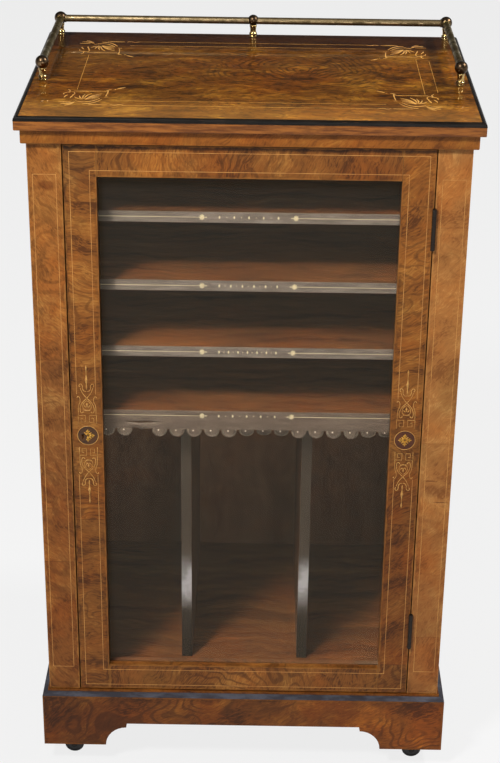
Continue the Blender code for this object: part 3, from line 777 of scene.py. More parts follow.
class Finish(Enum):
    """Finishes that several pieces share."""

    BOXWOOD = InlayWood(shown(212, 154, 84), shown(178, 118, 60))
    TOP_INLAY = InlayWood(shown(206, 154, 76), shown(166, 114, 48))
    PALE_BOXWOOD = InlayWood(shown(214, 160, 86), shown(180, 122, 58))
    ROUNDEL_GROUND = InlayWood(shown(92, 50, 28), shown(62, 34, 20))
    WORN_GROUND = InlayWood(shown(86, 54, 28), shown(38, 36, 32))
    ROUNDEL_GOLD = InlayWood(shown(222, 164, 66), shown(188, 124, 42))
    GILT = AgedMetal(shown(176, 162, 132), shown(220, 208, 172), 0.8, 300.0, 0.35, 0.1)
    GALLERY_BRASS = AgedMetal(shown(114, 97, 68), shown(182, 158, 118), 0.48, 70.0, 1.0, 0.04)
    SIDE_BRASS = AgedMetal(shown(84, 68, 36), shown(156, 138, 88), 0.40, 60.0, 1.0, 0.08)
    KNOB_BRASS = AgedMetal(shown(74, 58, 42), shown(136, 110, 80), 0.3, 60.0, 1.0, -0.10)
    STEM_BRASS = AgedMetal(shown(92, 70, 38), shown(200, 170, 108), 0.55, 110.0, 1.0, -0.06)
    LOCK_BRASS = AgedMetal(shown(130, 104, 58), shown(200, 164, 92), 0.5, 80.0)
    HINGE_METAL = AgedMetal(shown(34, 25, 17), shown(66, 49, 32), 0.2, 120.0, 0.5, 0.12)
    CASTOR_BRASS = AgedMetal(shown(24, 21, 18), shown(48, 40, 30), 0.2, 90.0, 0.6, 0.12)
    SCREW_METAL = AgedMetal(shown(84, 72, 56), shown(150, 128, 92), 0.35, 160.0)
    STUD = AgedMetal(shown(210, 190, 172), shown(240, 226, 208), 0.8, 300.0, 0.0, 0.1)
    WHEEL_BLACK = AgedMetal(shown(22, 20, 20), shown(44, 40, 38), 0.3, 110.0, 0.0, 0.2)

    def made(self) -> Material:
        """The finish's material, built at its first use."""
        name = f"{self.name.lower()}_finish"
        return bpy.data.materials.get(name) or self.value.material(name)


def new_object(name: str, data: bpy.types.ID) -> bpy.types.Object:
    """Add an object to the scene."""
    item = bpy.data.objects.new(name, data)
    bpy.context.scene.collection.objects.link(item)
    return item


def put_piece(
    name: str, mesh: Mesh, finish: Finish | Material, body: str,
    replaces: Sequence[str] = (), smooth: float | None = None,
) -> bpy.types.Object:
    """Add a finished piece that rides on a body.

    Args:
        name: the piece's name.
        mesh: its mesh, already in place.
        finish: its finish.
        body: the CAD body that it rides on.
        replaces: CAD nodes that it stands for.
        smooth: angle in degrees up to which faces shade smoothly, or None for flat.

    Returns:
        The object.
    """
    mesh.name = name
    mesh.materials.clear()
    mesh.materials.append(finish.made() if isinstance(finish, Finish) else finish)
    if smooth is not None:
        mesh.shade_smooth()
        mesh.set_sharp_from_angle(angle=math.radians(smooth))
    piece = new_object(name, mesh)
    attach(piece, getattr(body, "value", body))
    if replaces:
        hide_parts(*replaces)
    return piece


def as_mesh(shape: Shape, place: Matrix | None = None) -> Mesh:
    """Close off a bmesh as a mesh in its place, with its faces outward."""
    if place:
        bmesh.ops.transform(shape, matrix=place, verts=shape.verts)
    bmesh.ops.remove_doubles(shape, verts=shape.verts, dist=WELD)
    bmesh.ops.recalc_face_normals(shape, faces=shape.faces)
    return closed(shape)


def opened(meshes: Iterable[Mesh]) -> Shape:
    """Take meshes up into one bmesh."""
    shape = bmesh.new()
    for mesh in meshes:
        shape.from_mesh(mesh)
        bpy.data.meshes.remove(mesh)
    return shape


def closed(shape: Shape) -> Mesh:
    """Put a bmesh down as a mesh."""
    mesh = bpy.data.meshes.new("piece")
    shape.to_mesh(mesh)
    shape.free()
    return mesh


def joined(meshes: Iterable[Mesh]) -> Mesh:
    """Put several meshes into one."""
    return closed(opened(meshes))


def rim_of(shape: Shape) -> list[bmesh.types.BMEdge]:
    """Edges at which a shape is open."""
    return [edge for edge in shape.edges if edge.is_boundary]


def corners_of(items: Iterable[object]) -> list[bmesh.types.BMVert]:
    """The corners among the items that an operator gives."""
    return [item for item in items if isinstance(item, bmesh.types.BMVert)]


def capped(shape: Shape) -> None:
    """Close a shape's open edge with a face."""
    bmesh.ops.holes_fill(shape, edges=rim_of(shape), sides=0)


def rectangle(width: float, height: float) -> Shape:
    """A flat rectangle round the origin."""
    shape = bmesh.new()
    bmesh.ops.create_grid(shape, x_segments=1, y_segments=1, size=0.5)
    bmesh.ops.scale(shape, vec=(width, height, 1.0), verts=shape.verts)
    return shape


def scored(shape: Shape, place: Point, normal: Point) -> None:
    """Cut a sheet's faces along a plane and keep both sides."""
    bmesh.ops.bisect_plane(
        shape, geom=shape.verts[:] + shape.edges[:] + shape.faces[:], dist=WELD,
        plane_co=place, plane_no=normal,
    )


def turned(profile: Outline, sides: int) -> Shape:
    """Spin a profile of radius and height round Z into a closed shape."""
    shape = bmesh.new()
    corners = [shape.verts.new((radius, 0.0, height)) for radius, height in profile]
    edges = [shape.edges.new(pair) for pair in zip(corners, corners[1:])]
    bmesh.ops.spin(
        shape, geom=corners + edges, axis=(0, 0, 1), cent=(0, 0, 0), dvec=(0, 0, 0),
        angle=math.tau, steps=sides, use_merge=True, use_normal_flip=False, use_duplicate=False,
    )
    bmesh.ops.remove_doubles(shape, verts=shape.verts, dist=WELD)
    return shape


def metres(points: Outline) -> list[Pair]:
    """Points that are given in millimetres."""
    return [(x * MM, y * MM) for x, y in points]


def arc(centre: Pair, radius: float, start: float, stop: float, count: int) -> list[Pair]:
    """Points of an arc, with angles in degrees from the first direction."""
    angles = [math.radians(start + (stop - start) * step / count) for step in range(count + 1)]
    return [
        (centre[0] + radius * math.cos(a), centre[1] + radius * math.sin(a)) for a in angles
    ]


def raised(shape: Shape, faces: Iterable[bmesh.types.BMFace], by: Point) -> None:
    """Extrude flat faces into a plate."""
    grown = bmesh.ops.extrude_face_region(shape, geom=list(faces))["geom"]
    bmesh.ops.translate(shape, vec=by, verts=corners_of(grown))


def filled(loops: Iterable[Outline]) -> Shape:
    """A flat sheet inside the first outline, with the others cut out of it."""
    curve = outlined("outline", loops)
    curve.fill_mode = "BACK"
    shape = opened([curve_mesh(curve)])
    bmesh.ops.remove_doubles(shape, verts=shape.verts, dist=WELD)
    return shape


def outlined(name: str, loops: Iterable[Outline]) -> bpy.types.Curve:
    """A flat curve of closed outlines."""
    curve = bpy.data.curves.new(name, "CURVE")
    curve.dimensions = "2D"
    for loop in loops:
        spline = curve.splines.new("POLY")
        spline.points.add(len(loop) - 1)
        for point, (x, y) in zip(spline.points, loop):
            point.co = (x, y, 0.0, 1.0)
        spline.use_cyclic_u = True
    return curve


def curve_mesh(curve: bpy.types.Curve) -> Mesh:
    """The mesh that a curve makes."""
    guide = new_object("guide", curve)
    bpy.context.view_layer.update()
    depsgraph = bpy.context.evaluated_depsgraph_get()
    mesh = bpy.data.meshes.new_from_object(guide.evaluated_get(depsgraph))
    bpy.data.objects.remove(guide)
    return mesh


def standing(place: Point, normal: Point, turn: float = 0.0) -> Matrix:
    """Matrix that stands a shape's Z along a normal at a place, turned about it by degrees."""
    aim = Vector(normal).to_track_quat("Z", "Y").to_matrix().to_4x4()
    return Matrix.Translation(place) @ aim @ Matrix.Rotation(math.radians(turn), 4, "Z")


def on_front(x: float, y: float, z: float) -> Matrix:
    """Plane of a drawing on a face that looks to the front."""
    return Matrix.Translation((x, y, z)) @ FRONT


def screw_head(radius: float, place: Point, normal: Point, turn: float) -> Mesh:
    """A slotted, countersunk screw's head.

    Args:
        radius: its radius.
        place: the middle of its face.
        normal: the way that it faces.
        turn: how its slot lies, in degrees.

    Returns:
        The mesh in place.
    """
    shape = bmesh.new()
    bmesh.ops.create_circle(shape, cap_ends=True, segments=20, radius=radius)
    for side in (-1, 1):
        scored(shape, (side * radius * 0.13, 0, 0), (1, 0, 0))
    slot = [face for face in shape.faces if abs(face.calc_center_median().x) < radius * 0.05]
    raised(shape, slot, (0, 0, -radius * 0.35))
    bmesh.ops.delete(shape, geom=slot, context="FACES_ONLY")
    lower = corners_of(bmesh.ops.extrude_edge_only(shape, edges=rim_of(shape))["geom"])
    bmesh.ops.translate(shape, vec=(0, 0, -radius * 0.5), verts=lower)
    bmesh.ops.scale(shape, vec=(0.8, 0.8, 1.0), verts=lower)
    capped(shape)
    return as_mesh(shape, standing(place, normal, turn))


def screws(
    name: str, places: Iterable[Point], normal: Point, radius: float, body: str
) -> None:
    """Add a set of screws, each slot lying its own way."""
    draw = random.Random(name)
    heads = [screw_head(radius, place, normal, draw.uniform(0, 180)) for place in places]
    put_piece(name, joined(heads), Finish.SCREW_METAL, body, smooth=30.0)


def mirrored(strokes: Iterable[Stroke], across: bool = True, down: bool = False) -> list[Stroke]:
    """Strokes with their mirror images left and right, or up and down."""
    made = [list(stroke) for stroke in strokes]
    if across:
        made += [[(-x, y, r) for x, y, r in s] for s in made if any(abs(p[0]) > 0.01 for p in s)]
    if down:
        made += [[(x, -y, r) for x, y, r in s] for s in made]
    return made


def inlaid(
    strokes: Iterable[Stroke], plane: Matrix, layer: Layer, crisp: bool = False
) -> Mesh:
    """Make flat inlay from tapering strokes, given in millimetres.

    Args:
        strokes: points as x, y and half width.
        plane: where the drawing's plane lies, its Z out of the surface.
        layer: how far the inlay stands out of the surface.
        crisp: whether the strokes turn sharply.

    Returns:
        The mesh in place.
    """
    corners = metres(((-1, -0.4), (1, -0.4), (1, 0.4), (-1, 0.4)))
    section = bpy.data.objects.new("stroke_profile", outlined("stroke_profile", [corners]))
    curve = bpy.data.curves.new("strokes", "CURVE")
    curve.dimensions = "3D"
    curve.twist_mode = "Z_UP"
    curve.resolution_u = 5
    curve.bevel_mode = "OBJECT"
    curve.bevel_object = section
    curve.use_fill_caps = True
    for stroke in strokes:
        line = curve.splines.new("BEZIER")
        line.bezier_points.add(len(stroke) - 1)
        for point, (x, y, half) in zip(line.bezier_points, stroke):
            point.co = (x * MM, y * MM, 0.0)
            point.handle_left_type = point.handle_right_type = "VECTOR" if crisp else "AUTO"
            point.radius = half
    mesh = curve_mesh(curve)
    bpy.data.objects.remove(section)
    for corner in mesh.vertices:
        corner.co.z = math.copysign(layer, corner.co.z)
    return as_mesh(opened([mesh]), plane)


def string_frame(
    half_width: float, low: float, high: float, line: float, plane: Matrix,
    cuts: tuple[Sequence[float], Sequence[float]] = ((), ()),
    kept: Callable[[float, float], bool] | None = None,
) -> Mesh:
    """A rectangle of stringing, mitred at its corners.

    Args:
        half_width: half the distance between its upright lines.
        low: height of its lower line.
        high: height of its upper line.
        line: width of the string.
        plane: where the drawing's plane lies, its Z out of the surface.
        cuts: places in x and in y at which the string may stop.
        kept: whether the string is there at a point, if it is broken.

    Returns:
        The mesh in place.
    """
    shape = rectangle(2 * half_width + line, high - low + line)
    middle = (0, (low + high) / 2, -Layer.STRING)
    bmesh.ops.translate(shape, vec=middle, verts=shape.verts)
    field = shape.faces[:]
    bmesh.ops.inset_individual(shape, faces=field, thickness=line, depth=0.0)
    bmesh.ops.delete(shape, geom=field, context="FACES_ONLY")
    for axis, places in enumerate(cuts):
        normal = Vector((axis == 0, axis == 1, 0))
        for place in places:
            scored(shape, normal * place, normal)
    if kept:
        gone = [f for f in shape.faces if not kept(*f.calc_center_median().xy)]
        bmesh.ops.delete(shape, geom=gone, context="FACES")
    raised(shape, shape.faces, (0, 0, 2 * Layer.STRING))
    return as_mesh(shape, plane)


@dataclass
class TopBoard:
    """Inlay of the top board: two broken string rectangles and a leaf scroll in each corner.

    Attributes:
        string: width of the strings.
        outer: half width, front and back of the outer rectangle.
        inner: half width, front and back of the inner rectangle.
        outer_stop: how far the outer lines run from the middle, across and in depth.
        inner_stop: how far the inner lines run from the middle, across and in depth.
        gone: how far to the left of the middle the strings are lost.
        slim: what the scrolls' half widths are multiplied by.
    """

    string: float = 0.00075
    outer: Triple = (0.2425, -0.1490, 0.1540)
    inner: Triple = (0.2250, -0.1300, 0.1340)
    outer_stop: Pair = (0.162, 0.075)
    inner_stop: Pair = (0.172, 0.083)
    gone: float = 0.2350
    slim: float = 0.85

    def scroll(self) -> list[Stroke]:
        """Corner drawing in millimetres, from the outer lines inward along both sides."""
        strokes: list[Stroke] = []
        root = (29, 22)
        for tip_x, tip_y, half in (
            (51, 48, 1.9), (50, 40, 1.4), (49, 33, 1.4), (38, 50, 1.6), (30, 45, 1.5),
            (23, 39, 1.4), (17, 33, 1.2), (50, 25, 1.0),
        ):
            across, along = tip_x - root[0], tip_y - root[1]
            strokes.append([
                (root[0] + 0.12 * across, root[1] + 0.12 * along, 0.35),
                (root[0] + 0.58 * across - 0.07 * along, root[1] + 0.58 * along + 0.07 * across,
                 half * 0.78),
                (tip_x, tip_y, 0.3),
            ])
        strokes += [
            [(53, 24, 0.5), (46, 12, 1.0), (36, 5, 1.1), (30, 4, 0.5)],
            [(50, 28, 0.5), (42, 17, 0.9), (30, 12, 0.8), (20, 16, 0.5)],
            [(20, 12, 0.5), (12, 5, 1.9), (2, 2, 0.4)],
            [(19, 8, 0.5), (13, 0, 1.2), (8, -4, 0.4)],
            [(14, 12, 0.4), (5, 11, 1.2), (-1, 12, 0.4)],
            [(14, 40, 1.0), (16, 48, 0.7), (12, 56, 0.6), (8, 52, 0.9)],
            [(6, 66, 0.5), (9, 60, 1.0), (7, 54, 0.6), (3, 50, 0.5), (2, 44, 0.9)],
            [(4, 30, 0.4), (5, 36, 1.1), (8, 42, 0.4)],
            [(12, 28, 0.4), (13, 34, 1.1), (15, 40, 0.4)],
            [(57, 66, 0.7), (58, 60, 1.0), (57, 38, 0.7)],
            [(60, 35, 0.5), (55, 34, 0.5)],
            [(62, 68, 0.5), (58, 66, 1.0), (55, 64, 0.4)],
            [(66, 68, 1.0), (68, 68, 0.9)],
            [(69, 70, 0.5), (73, 74, 1.5), (79, 78, 0.4)],
            [(58, 59, 0.4), (40, 59.5, 0.5), (28, 59, 0.9), (14, 59, 0.5)],
            [(62, 1, 0.5), (50, 0.5, 0.9), (38, 2, 0.6)],
            [(82, 0.2, 0.45), (76, 2.2, 0.6), (70, -1.0, 0.7), (65, 1.6, 0.4)],
        ]
        return strokes

    def build(self) -> None:
        """Make the inlay and dress the board."""
        flat = Matrix.Translation((0, 0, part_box("top_board")[1].z))
        lines = []
        for (half, low, high), (stop_x, stop_y) in (
            (self.outer, self.outer_stop), (self.inner, self.inner_stop)
        ):
            lines.append(string_frame(
                half, low, high, self.string, flat, ((-stop_x, stop_x), (-stop_y, stop_y)),
                lambda x, y, a=stop_x, b=stop_y: abs(x) < a or abs(y) < b and x > -self.gone,
            ))
        put_piece("top_stringing", joined(lines), Finish.TOP_INLAY, Body.CASE)
        half, low, high = (value / MM for value in self.outer)
        corners = [
            [(side * (half - x), high - y if back else low + y, self.slim * r)
             for x, y, r in stroke]
            for side in (-1, 1) for back in (False, True) for stroke in self.scroll()
        ]
        put_piece(
            "top_corner_scrolls", inlaid(corners, flat, Layer.OUTLINE), Finish.TOP_INLAY,
            Body.CASE,
        )
        log.info("top board: strings and four corner scrolls")


@dataclass
class FrontInlay:
    """Strings on the pilasters and the door, and the door's upright ornaments.

    Attributes:
        string: width of the strings.
        panel: inner line, outer line, low and high of a pilaster's panel.
        outer: half width, low and high of the door's outer string.
        inner: half width, low and high of the door's inner string.
        string_gap: heights between which the door's upright lines stop.
        ornament_x: how far from the middle the ornaments stand.
        roundel: radius of the roundels.
        keyhole: radius of the keyhole, width and length of its slot.
        key_inset: how far the keyhole stands from the lock case's left side.
    """

    string: float = 0.0009
    panel: tuple[float, float, float, float] = (0.2441, 0.2734, 0.1641, 0.9075)
    outer: Triple = (0.2268, 0.1342, 0.9381)
    inner: Triple = (0.2014, 0.1598, 0.9134)
    string_gap: Pair = (0.478, 0.600)
    ornament_x: float = 0.2135
    roundel: float = 0.0140
    keyhole: Triple = (0.0019, 0.0018, 0.0050)
    key_inset: float = 0.0142

    def curls(self) -> list[Stroke]:
        """Curved lines of an ornament's upper half, in millimetres from the roundel's middle."""
        centred = [
            [(0, 104.5, 0.15), (0, 101, 1.1), (0, 96, 0.35), (0, 91, 0.3)],
            [(0, 92, 0.3), (0, 87, 0.9), (0, 83.5, 1.9), (0, 80, 1.2), (0, 76, 0.5), (0, 72, 1.0),
             (0, 68.5, 0.3)],
            [(0, 49, 0.4), (0, 46.5, 1.3), (0, 43, 0.5)],
        ]
        sided = [
            [(0.4, 66, 0.6), (3.2, 66.5, 0.75), (5.4, 70, 0.7), (5.6, 74.5, 0.65), (8, 77, 0.65),
             (9.9, 75, 0.7), (9.0, 72.6, 1.1)],
            [(8.6, 71, 0.55), (5.5, 63.5, 0.55), (0, 56, 0.6), (-5.6, 50, 0.6), (-8.6, 44, 0.6),
             (-9.4, 38, 0.6), (-7.6, 34, 0.6), (-4.9, 35.6, 1.0)],
            [(13.2, 56.6, 1.0), (11.6, 58.4, 0.6), (9.6, 56.4, 0.6), (9.2, 51, 0.6),
             (11.2, 45, 0.55), (11.8, 38, 0.5), (11.8, 31, 0.45)],
            [(0.2, 52.2, 0.4), (3.2, 50, 0.5), (5.4, 45.4, 0.5), (4.8, 40, 0.5), (2.4, 38.2, 0.5)],
            [(0.5, 42.6, 0.4), (2.6, 43.2, 1.0), (3.6, 45.6, 0.3)],
            [(0.0, 37.6, 0.7), (4.6, 37.6, 0.5)],
        ]
        return centred + mirrored(sided)

    def frets(self) -> list[Stroke]:
        """Square lines of an ornament's upper half, in millimetres from the roundel's middle."""
        return mirrored([
            [(12.2, 17.6, 0.34), (12.2, 31.2, 0.34)],
            [(12.2, 30.2, 0.34), (2.6, 30.2, 0.34), (2.6, 20.4, 0.34), (8.6, 20.4, 0.34),
             (8.6, 26.0, 0.34), (5.6, 26.0, 0.34)],
        ])

    def flower(self, gone: Sequence[int] = ()) -> list[Stroke]:
        """Eight leaves of a roundel in millimetres, apart from those that are gone."""
        leaves: list[Stroke] = []
        for count in range(8):
            if count in gone:
                continue
            a = math.tau * count / 8
            long = count % 2 == 0
            reach, half = (9.2, 1.6) if long else (6.6, 1.4)
            c, s = math.cos(a), math.sin(a)
            leaves.append([
                (1.0 * c, 1.0 * s, 1.0), (reach * 0.5 * c, reach * 0.5 * s, half),
                (reach * 0.8 * c, reach * 0.8 * s, half * 0.6), (reach * c, reach * s, 0.3),
            ])
            for side in (-1, 1) if long else ():
                b = a + side * 0.30
                leaves.append([
                    (5.0 * c, 5.0 * s, 0.4), (6.5 * math.cos(b), 6.5 * math.sin(b), 0.9),
                    (7.6 * math.cos(b), 7.6 * math.sin(b), 0.3),
                ])
        return leaves

    def ground(self, key: float | None) -> Shape:
        """A roundel's dark ground, with the keyhole cut in it at a place across if it has one."""
        loops = [arc((0, 0), self.roundel, 0, 352.5, 47)]
        if key is not None:
            radius, width, drop = self.keyhole
            lean = math.degrees(math.acos(width / 2 / radius))
            eye = arc((key, 0), radius, -lean, 180 + lean, 20)
            loops.append(eye + [(key - width / 2, -drop), (key + width / 2, -drop)])
        shape = filled(loops)
        bmesh.ops.translate(shape, vec=(0, 0, -Layer.GROUND), verts=shape.verts)
        raised(shape, shape.faces, (0, 0, 2 * Layer.GROUND))
        return shape

    def build(self) -> None:
        """Make the strings, the ornaments and the roundels."""
        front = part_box("pilaster_left")[0].y
        inward, outward, low, high = self.panel
        for side, name in ((-1, "left"), (1, "right")):
            panel = string_frame(
                (outward - inward) / 2, low, high, self.string,
                on_front(side * (inward + outward) / 2, front, 0),
            )
            put_piece(f"pilaster_string_{name}", panel, Finish.BOXWOOD, Body.CASE)
        low_gap, high_gap = self.string_gap
        for part, (half, low, high) in (("outer", self.outer), ("inner", self.inner)):
            line = string_frame(
                half, low, high, self.string, on_front(0, front, 0), ((), self.string_gap),
                lambda x, y: not low_gap < y < high_gap,
            )
            put_piece(f"door_string_{part}", line, Finish.BOXWOOD, Body.DOOR)
        low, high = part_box("lock_case")
        height = (low.z + high.z) / 2
        key = low.x + self.key_inset + self.ornament_x
        curls = [
            [(x, y, r if abs(x) < 0.01 else r * 0.72) for x, y, r in stroke]
            for stroke in mirrored(self.curls(), across=False, down=True)
        ]
        frets = mirrored(self.frets(), across=False, down=True)
        ring = [[(x / MM, y / MM, 0.42) for x, y in arc((0, 0), self.roundel, 0, 360, 24)]]
        for side, name, hole, gone, dark in (
            (-1, "left", key, (4, 5), Finish.WORN_GROUND),
            (1, "right", None, (), Finish.ROUNDEL_GROUND),
        ):
            plane = on_front(side * self.ornament_x, front, height)
            drawing = joined([
                inlaid(curls, plane, Layer.DRAWING), inlaid(frets, plane, Layer.DRAWING, True)
            ])
            flower = inlaid(self.flower(gone), plane, Layer.FLOWER)
            for part, mesh, finish in (
                ("ornament", drawing, Finish.PALE_BOXWOOD),
                ("roundel_ground", as_mesh(self.ground(hole), plane), dark),
                ("roundel_ring", inlaid(ring, plane, Layer.OUTLINE), Finish.PALE_BOXWOOD),
                ("roundel_flower", flower, Finish.ROUNDEL_GOLD),
            ):
                put_piece(f"{part}_{name}", mesh, finish, Body.DOOR)
        log.info("front: strings, ornaments and roundels")


@dataclass
class Gallery:
    """Turned brass posts and rails of the three-quarter gallery.

    Attributes:
        sides: facets round a post.
        rail_sides: facets round a rail.
        foot: largest radius of a post's stem.
        collar: length of the collar on a rail's end.
        across: how far from the middle the outer posts stand.
        depths: where the front and the back posts stand in depth.
        knob_height: height of the knobs' middles above the top board.
    """

    sides: int = 40
    rail_sides: int = 32
    foot: float = 0.0057
    collar: float = 0.0032
    across: float = 0.2745
    depths: Pair = (-0.0413, 0.1897)
    knob_height: float = 0.0241

    def post(self, ball: float, tall: float) -> tuple[Outline, Outline]:
        """Profiles of a post's stem and of its knob, from the foot up.

        Args:
            ball: the knob's radius.
            tall: the post's height.

        Returns:
            The two profiles.
        """
        centre = tall - ball
        neck = self.foot * 0.90
        meet = math.acos(neck / ball)
        lowest = centre - ball * math.sin(meet)
        shares = (
            (0.84, 0.0), (0.86, 0.03), (0.86, 0.09), (0.78, 0.13), (0.80, 0.17), (0.93, 0.20),
            (1.0, 0.24), (1.0, 0.30), (0.93, 0.34), (0.82, 0.37), (0.77, 0.42), (0.75, 0.52),
            (0.75, 0.62), (0.78, 0.72), (0.83, 0.80), (0.89, 0.86), (0.90, 0.90), (0.86, 0.92),
            (0.86, 1.0),
        )
        stem = [(0.0, 0.0)] + [(self.foot * out, lowest * up) for out, up in shares]
        stem.append((0.0, lowest))
        knob = [(0.0, lowest - 0.4 * MM), (neck * 0.98, lowest - 0.4 * MM)]
        knob += arc((0.0, centre), ball, -math.degrees(meet), 90, 14)
        knob[-1] = (0.0, centre + ball)
        return stem, knob

    def rail(self, low: Vector, high: Vector) -> Mesh:
        """A rail on the CAD rail's line, with a collar at each end."""
        size = high - low
        along = 0 if size.x > size.y else 1
        radius = size.z / 2
        half = size[along] / 2
        wide = radius * 1.14
        line = [(0.0, -half), (wide * 0.94, -half), (wide, -half + 0.5 * MM)]
        line += [(wide, -half + self.collar), (radius, -half + self.collar + 0.4 * MM)]
        line += [(radius * 0.985, 0.0)]
        line += [(r, -h) for r, h in reversed(line[:-1])]
        axis = (1, 0, 0) if along == 0 else (0, 1, 0)
        return as_mesh(turned(line, self.rail_sides), standing((low + high) / 2, axis))

    def build(self) -> None:
        """Make posts, knobs and rails in place of the CAD ones."""
        for name in sorted(n for n in frame["nodes"] if n.startswith("gallery")):
            low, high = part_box(name)
            if "rail" in name:
                finish = Finish.GALLERY_BRASS if name.endswith("back") else Finish.SIDE_BRASS
                put_piece(
                    f"{name}_turned", self.rail(low, high), finish, Body.CASE,
                    (name,), 35.0,
                )
                continue
            tall = high.z - low.z
            stem, knob = self.post(tall - self.knob_height, tall)
            x = self.across * round((low.x + high.x) / 2 / self.across)
            place = Matrix.Translation((x, self.depths["back" in name], low.z))
            for part, line, finish, kept in (
                ("stem", stem, Finish.STEM_BRASS, ()), ("knob", knob, Finish.KNOB_BRASS, (name,))
            ):
                put_piece(
                    f"{name}_{part}", as_mesh(turned(line, self.sides), place), finish, Body.CASE,
                    kept, 35.0,
                )
        log.info("gallery: five posts and three rails")


@dataclass
class ShelfLeathers:
    """Leather on the shelf edges, its gilt tooling and the scalloped fall.

    Attributes:
        pitch: distance between the scallops.
        radius: radius of a scallop.
        drop: depth of the fall.
        finial_x: how far from the middle the gilt finials stand.
        gilt_down: how far below a band's top its gilt line runs.
        curls: curl of single scallops, by their count from the middle.
        torn: count of the scallop that is missing.
        behind: how far the fall hangs behind the face of the bands.
        thick: thickness of the fall.
    """

    pitch: float = 0.02373
    radius: float = 0.0103
    drop: float = 0.0395
    finial_x: float = 0.0600
    gilt_down: float = 0.0073
    curls: tuple[tuple[int, float], ...] = (
        (0, 0.55), (1, 1.0), (2, 0.8), (7, 0.7), (8, 0.9), (-9, 0.4)
    )
    torn: int = -6
    behind: float = 0.6 * MM
    thick: float = 0.9 * MM

    def finial(self) -> list[Stroke]:
        """A small gilt palmette in millimetres, its stalk to the right."""
        strokes: list[Stroke] = []
        for turn, reach in (
            (180, 4.8), (140, 4.6), (220, 4.6), (100, 4.2), (260, 4.2), (60, 3.4), (300, 3.4)
        ):
            a = math.radians(turn)
            strokes.append([
                (0.4 * math.cos(a), 0.4 * math.sin(a), 0.5),
                (reach * 0.62 * math.cos(a), reach * 0.62 * math.sin(a), 0.85),
                (reach * math.cos(a), reach * math.sin(a), 0.35),
            ])
        strokes.append([(0, 0, 0.9), (3.0, 0, 0.5), (6.0, 0, 0.45)])
        return strokes

    def tooling(self, half: float, band: int) -> list[Stroke]:
        """Gilt work of a band: lines, finials and a row of lozenges and dots between them.

        Args:
            half: half the band's width, in metres.
            band: the band's count, which sets how many lozenges it has.

        Returns:
            The strokes, in millimetres.
        """
        reach = self.finial_x / MM
        end = half / MM - 1.5
        made: list[Stroke] = []
        for side in (-1, 1):
            made += [[(side * (reach - x), y, r) for x, y, r in s] for s in self.finial()]
            made.append([(side * (reach + 4), 0, 0.26), (side * end, 0, 0.24)])
        count = 5 + band % 3
        span = 76.0
        for step in range(count):
            x = -span / 2 + span * step / (count - 1)
            made.append([(x, -2.2, 0.15), (x, 0, 1.25), (x, 2.2, 0.15)])
            if step < count - 1:
                gap = span / (count - 1) / 2
                made.append([(x + gap - 0.5, 0, 0.5), (x + gap + 0.5, 0, 0.5)])
        return made

    def lobes(self, half: float) -> list[int]:
        """Counts of the scallops that are there."""
        reach = int(half / self.pitch)
        return [
            n for n in range(-reach, reach + 1)
            if n != self.torn and abs(n * self.pitch) + self.radius <= half
        ]

    def outline(self, half: float) -> list[Outline]:
        """The fall's outline with its top at zero, and the slit in it."""
        neck = self.drop - self.radius
        brow = neck - (self.pitch / 2 - self.radius)
        line = [(-half, 0.0), (-half, -brow)]
        there = self.lobes(half)
        for count in range(there[0], there[-1] + 1):
            middle = count * self.pitch
            if count in there:
                line.append((middle - self.radius, -brow))
                line += arc((middle, -neck), self.radius, 180, 360, 14)
                line.append((middle + self.radius, -brow))
            else:
                line += [(middle - 8 * MM, -brow + 1.2 * MM), (middle - 2 * MM, -brow - 1.6 * MM),
                         (middle + 5 * MM, -brow - 0.3 * MM)]
        line += [(half, -brow), (half, 0.0)]
        slit = [(-0.166, -0.0164), (-0.150, -0.0170), (-0.138, -0.0164), (-0.121, -0.0178),
                (-0.136, -0.0192), (-0.149, -0.0198)]
        return [line, slit]

    def bend(self, x: float, down: float) -> float:
        """How far the fall stands behind its plane at a point."""
        hem = self.drop - self.radius
        share = max(0.0, (down - hem * 0.8) / (self.radius * 1.6))
        curl = dict(self.curls).get(round(x / self.pitch), 0.0)
        sway = 0.7 * MM * math.sin(x * 21.0) * min(1.0, down / 0.02)
        ripple = 0.35 * MM * math.sin(x * 74.0) * share
        return 8.0 * MM * curl * share * share + sway * 0.5 + ripple

    def rim(self, hem: float, edge: Colour) -> Callable:
        """Colour of the pale pinked rim, with tiny punched dots, round each scallop, and of
        painted shade on the curled scallops.

        Args:
            hem: height of the scallops' middles.
            edge: colour of the rim.

        Returns:
            A function of graph, colour and place that gives the final colour.
        """
        pitch, radius = self.pitch, self.radius

        def coloured(g: Graph, colour: Feed, place: Feed) -> Feed:
            """Add the rim to a colour."""
            x, _, z = g.parts(place)
            near = g.maths("SNAP", g.maths("ADD", x, pitch / 2), pitch)
            across = g.maths("SUBTRACT", x, near)
            down = g.maths("SUBTRACT", z, hem)
            away = g.length(g.vector(across, down))
            below = g.step(down, radius * 0.3, -radius * 0.05)
            pale = g.times(g.step(away, radius * 0.84, radius * 0.98), below, 0.35)
            dots = g.step(
                g.maths("SINE", g.times(g.maths("ARCTAN2", down, across), 17.0)), 0.55, 0.8
            )
            band = g.times(g.step(away, radius * 0.74, radius * 0.80),
                           g.step(away, radius * 0.90, radius * 0.84))
            colour = g.mix(pale, colour, edge)
            # Painted shade on the lower parts of the scallops from just left of the middle to 60
            # mm right, where scallops 0 to 2 curl back.
            shade = g.times(g.step(x, -0.014, -0.006), g.step(x, 0.064, 0.056), below, 0.55)
            colour = g.mix(shade, colour, shown(44, 37, 32))
            return g.mix(g.times(dots, band, below, 0.8), colour, shown(190, 178, 162))

        return coloured

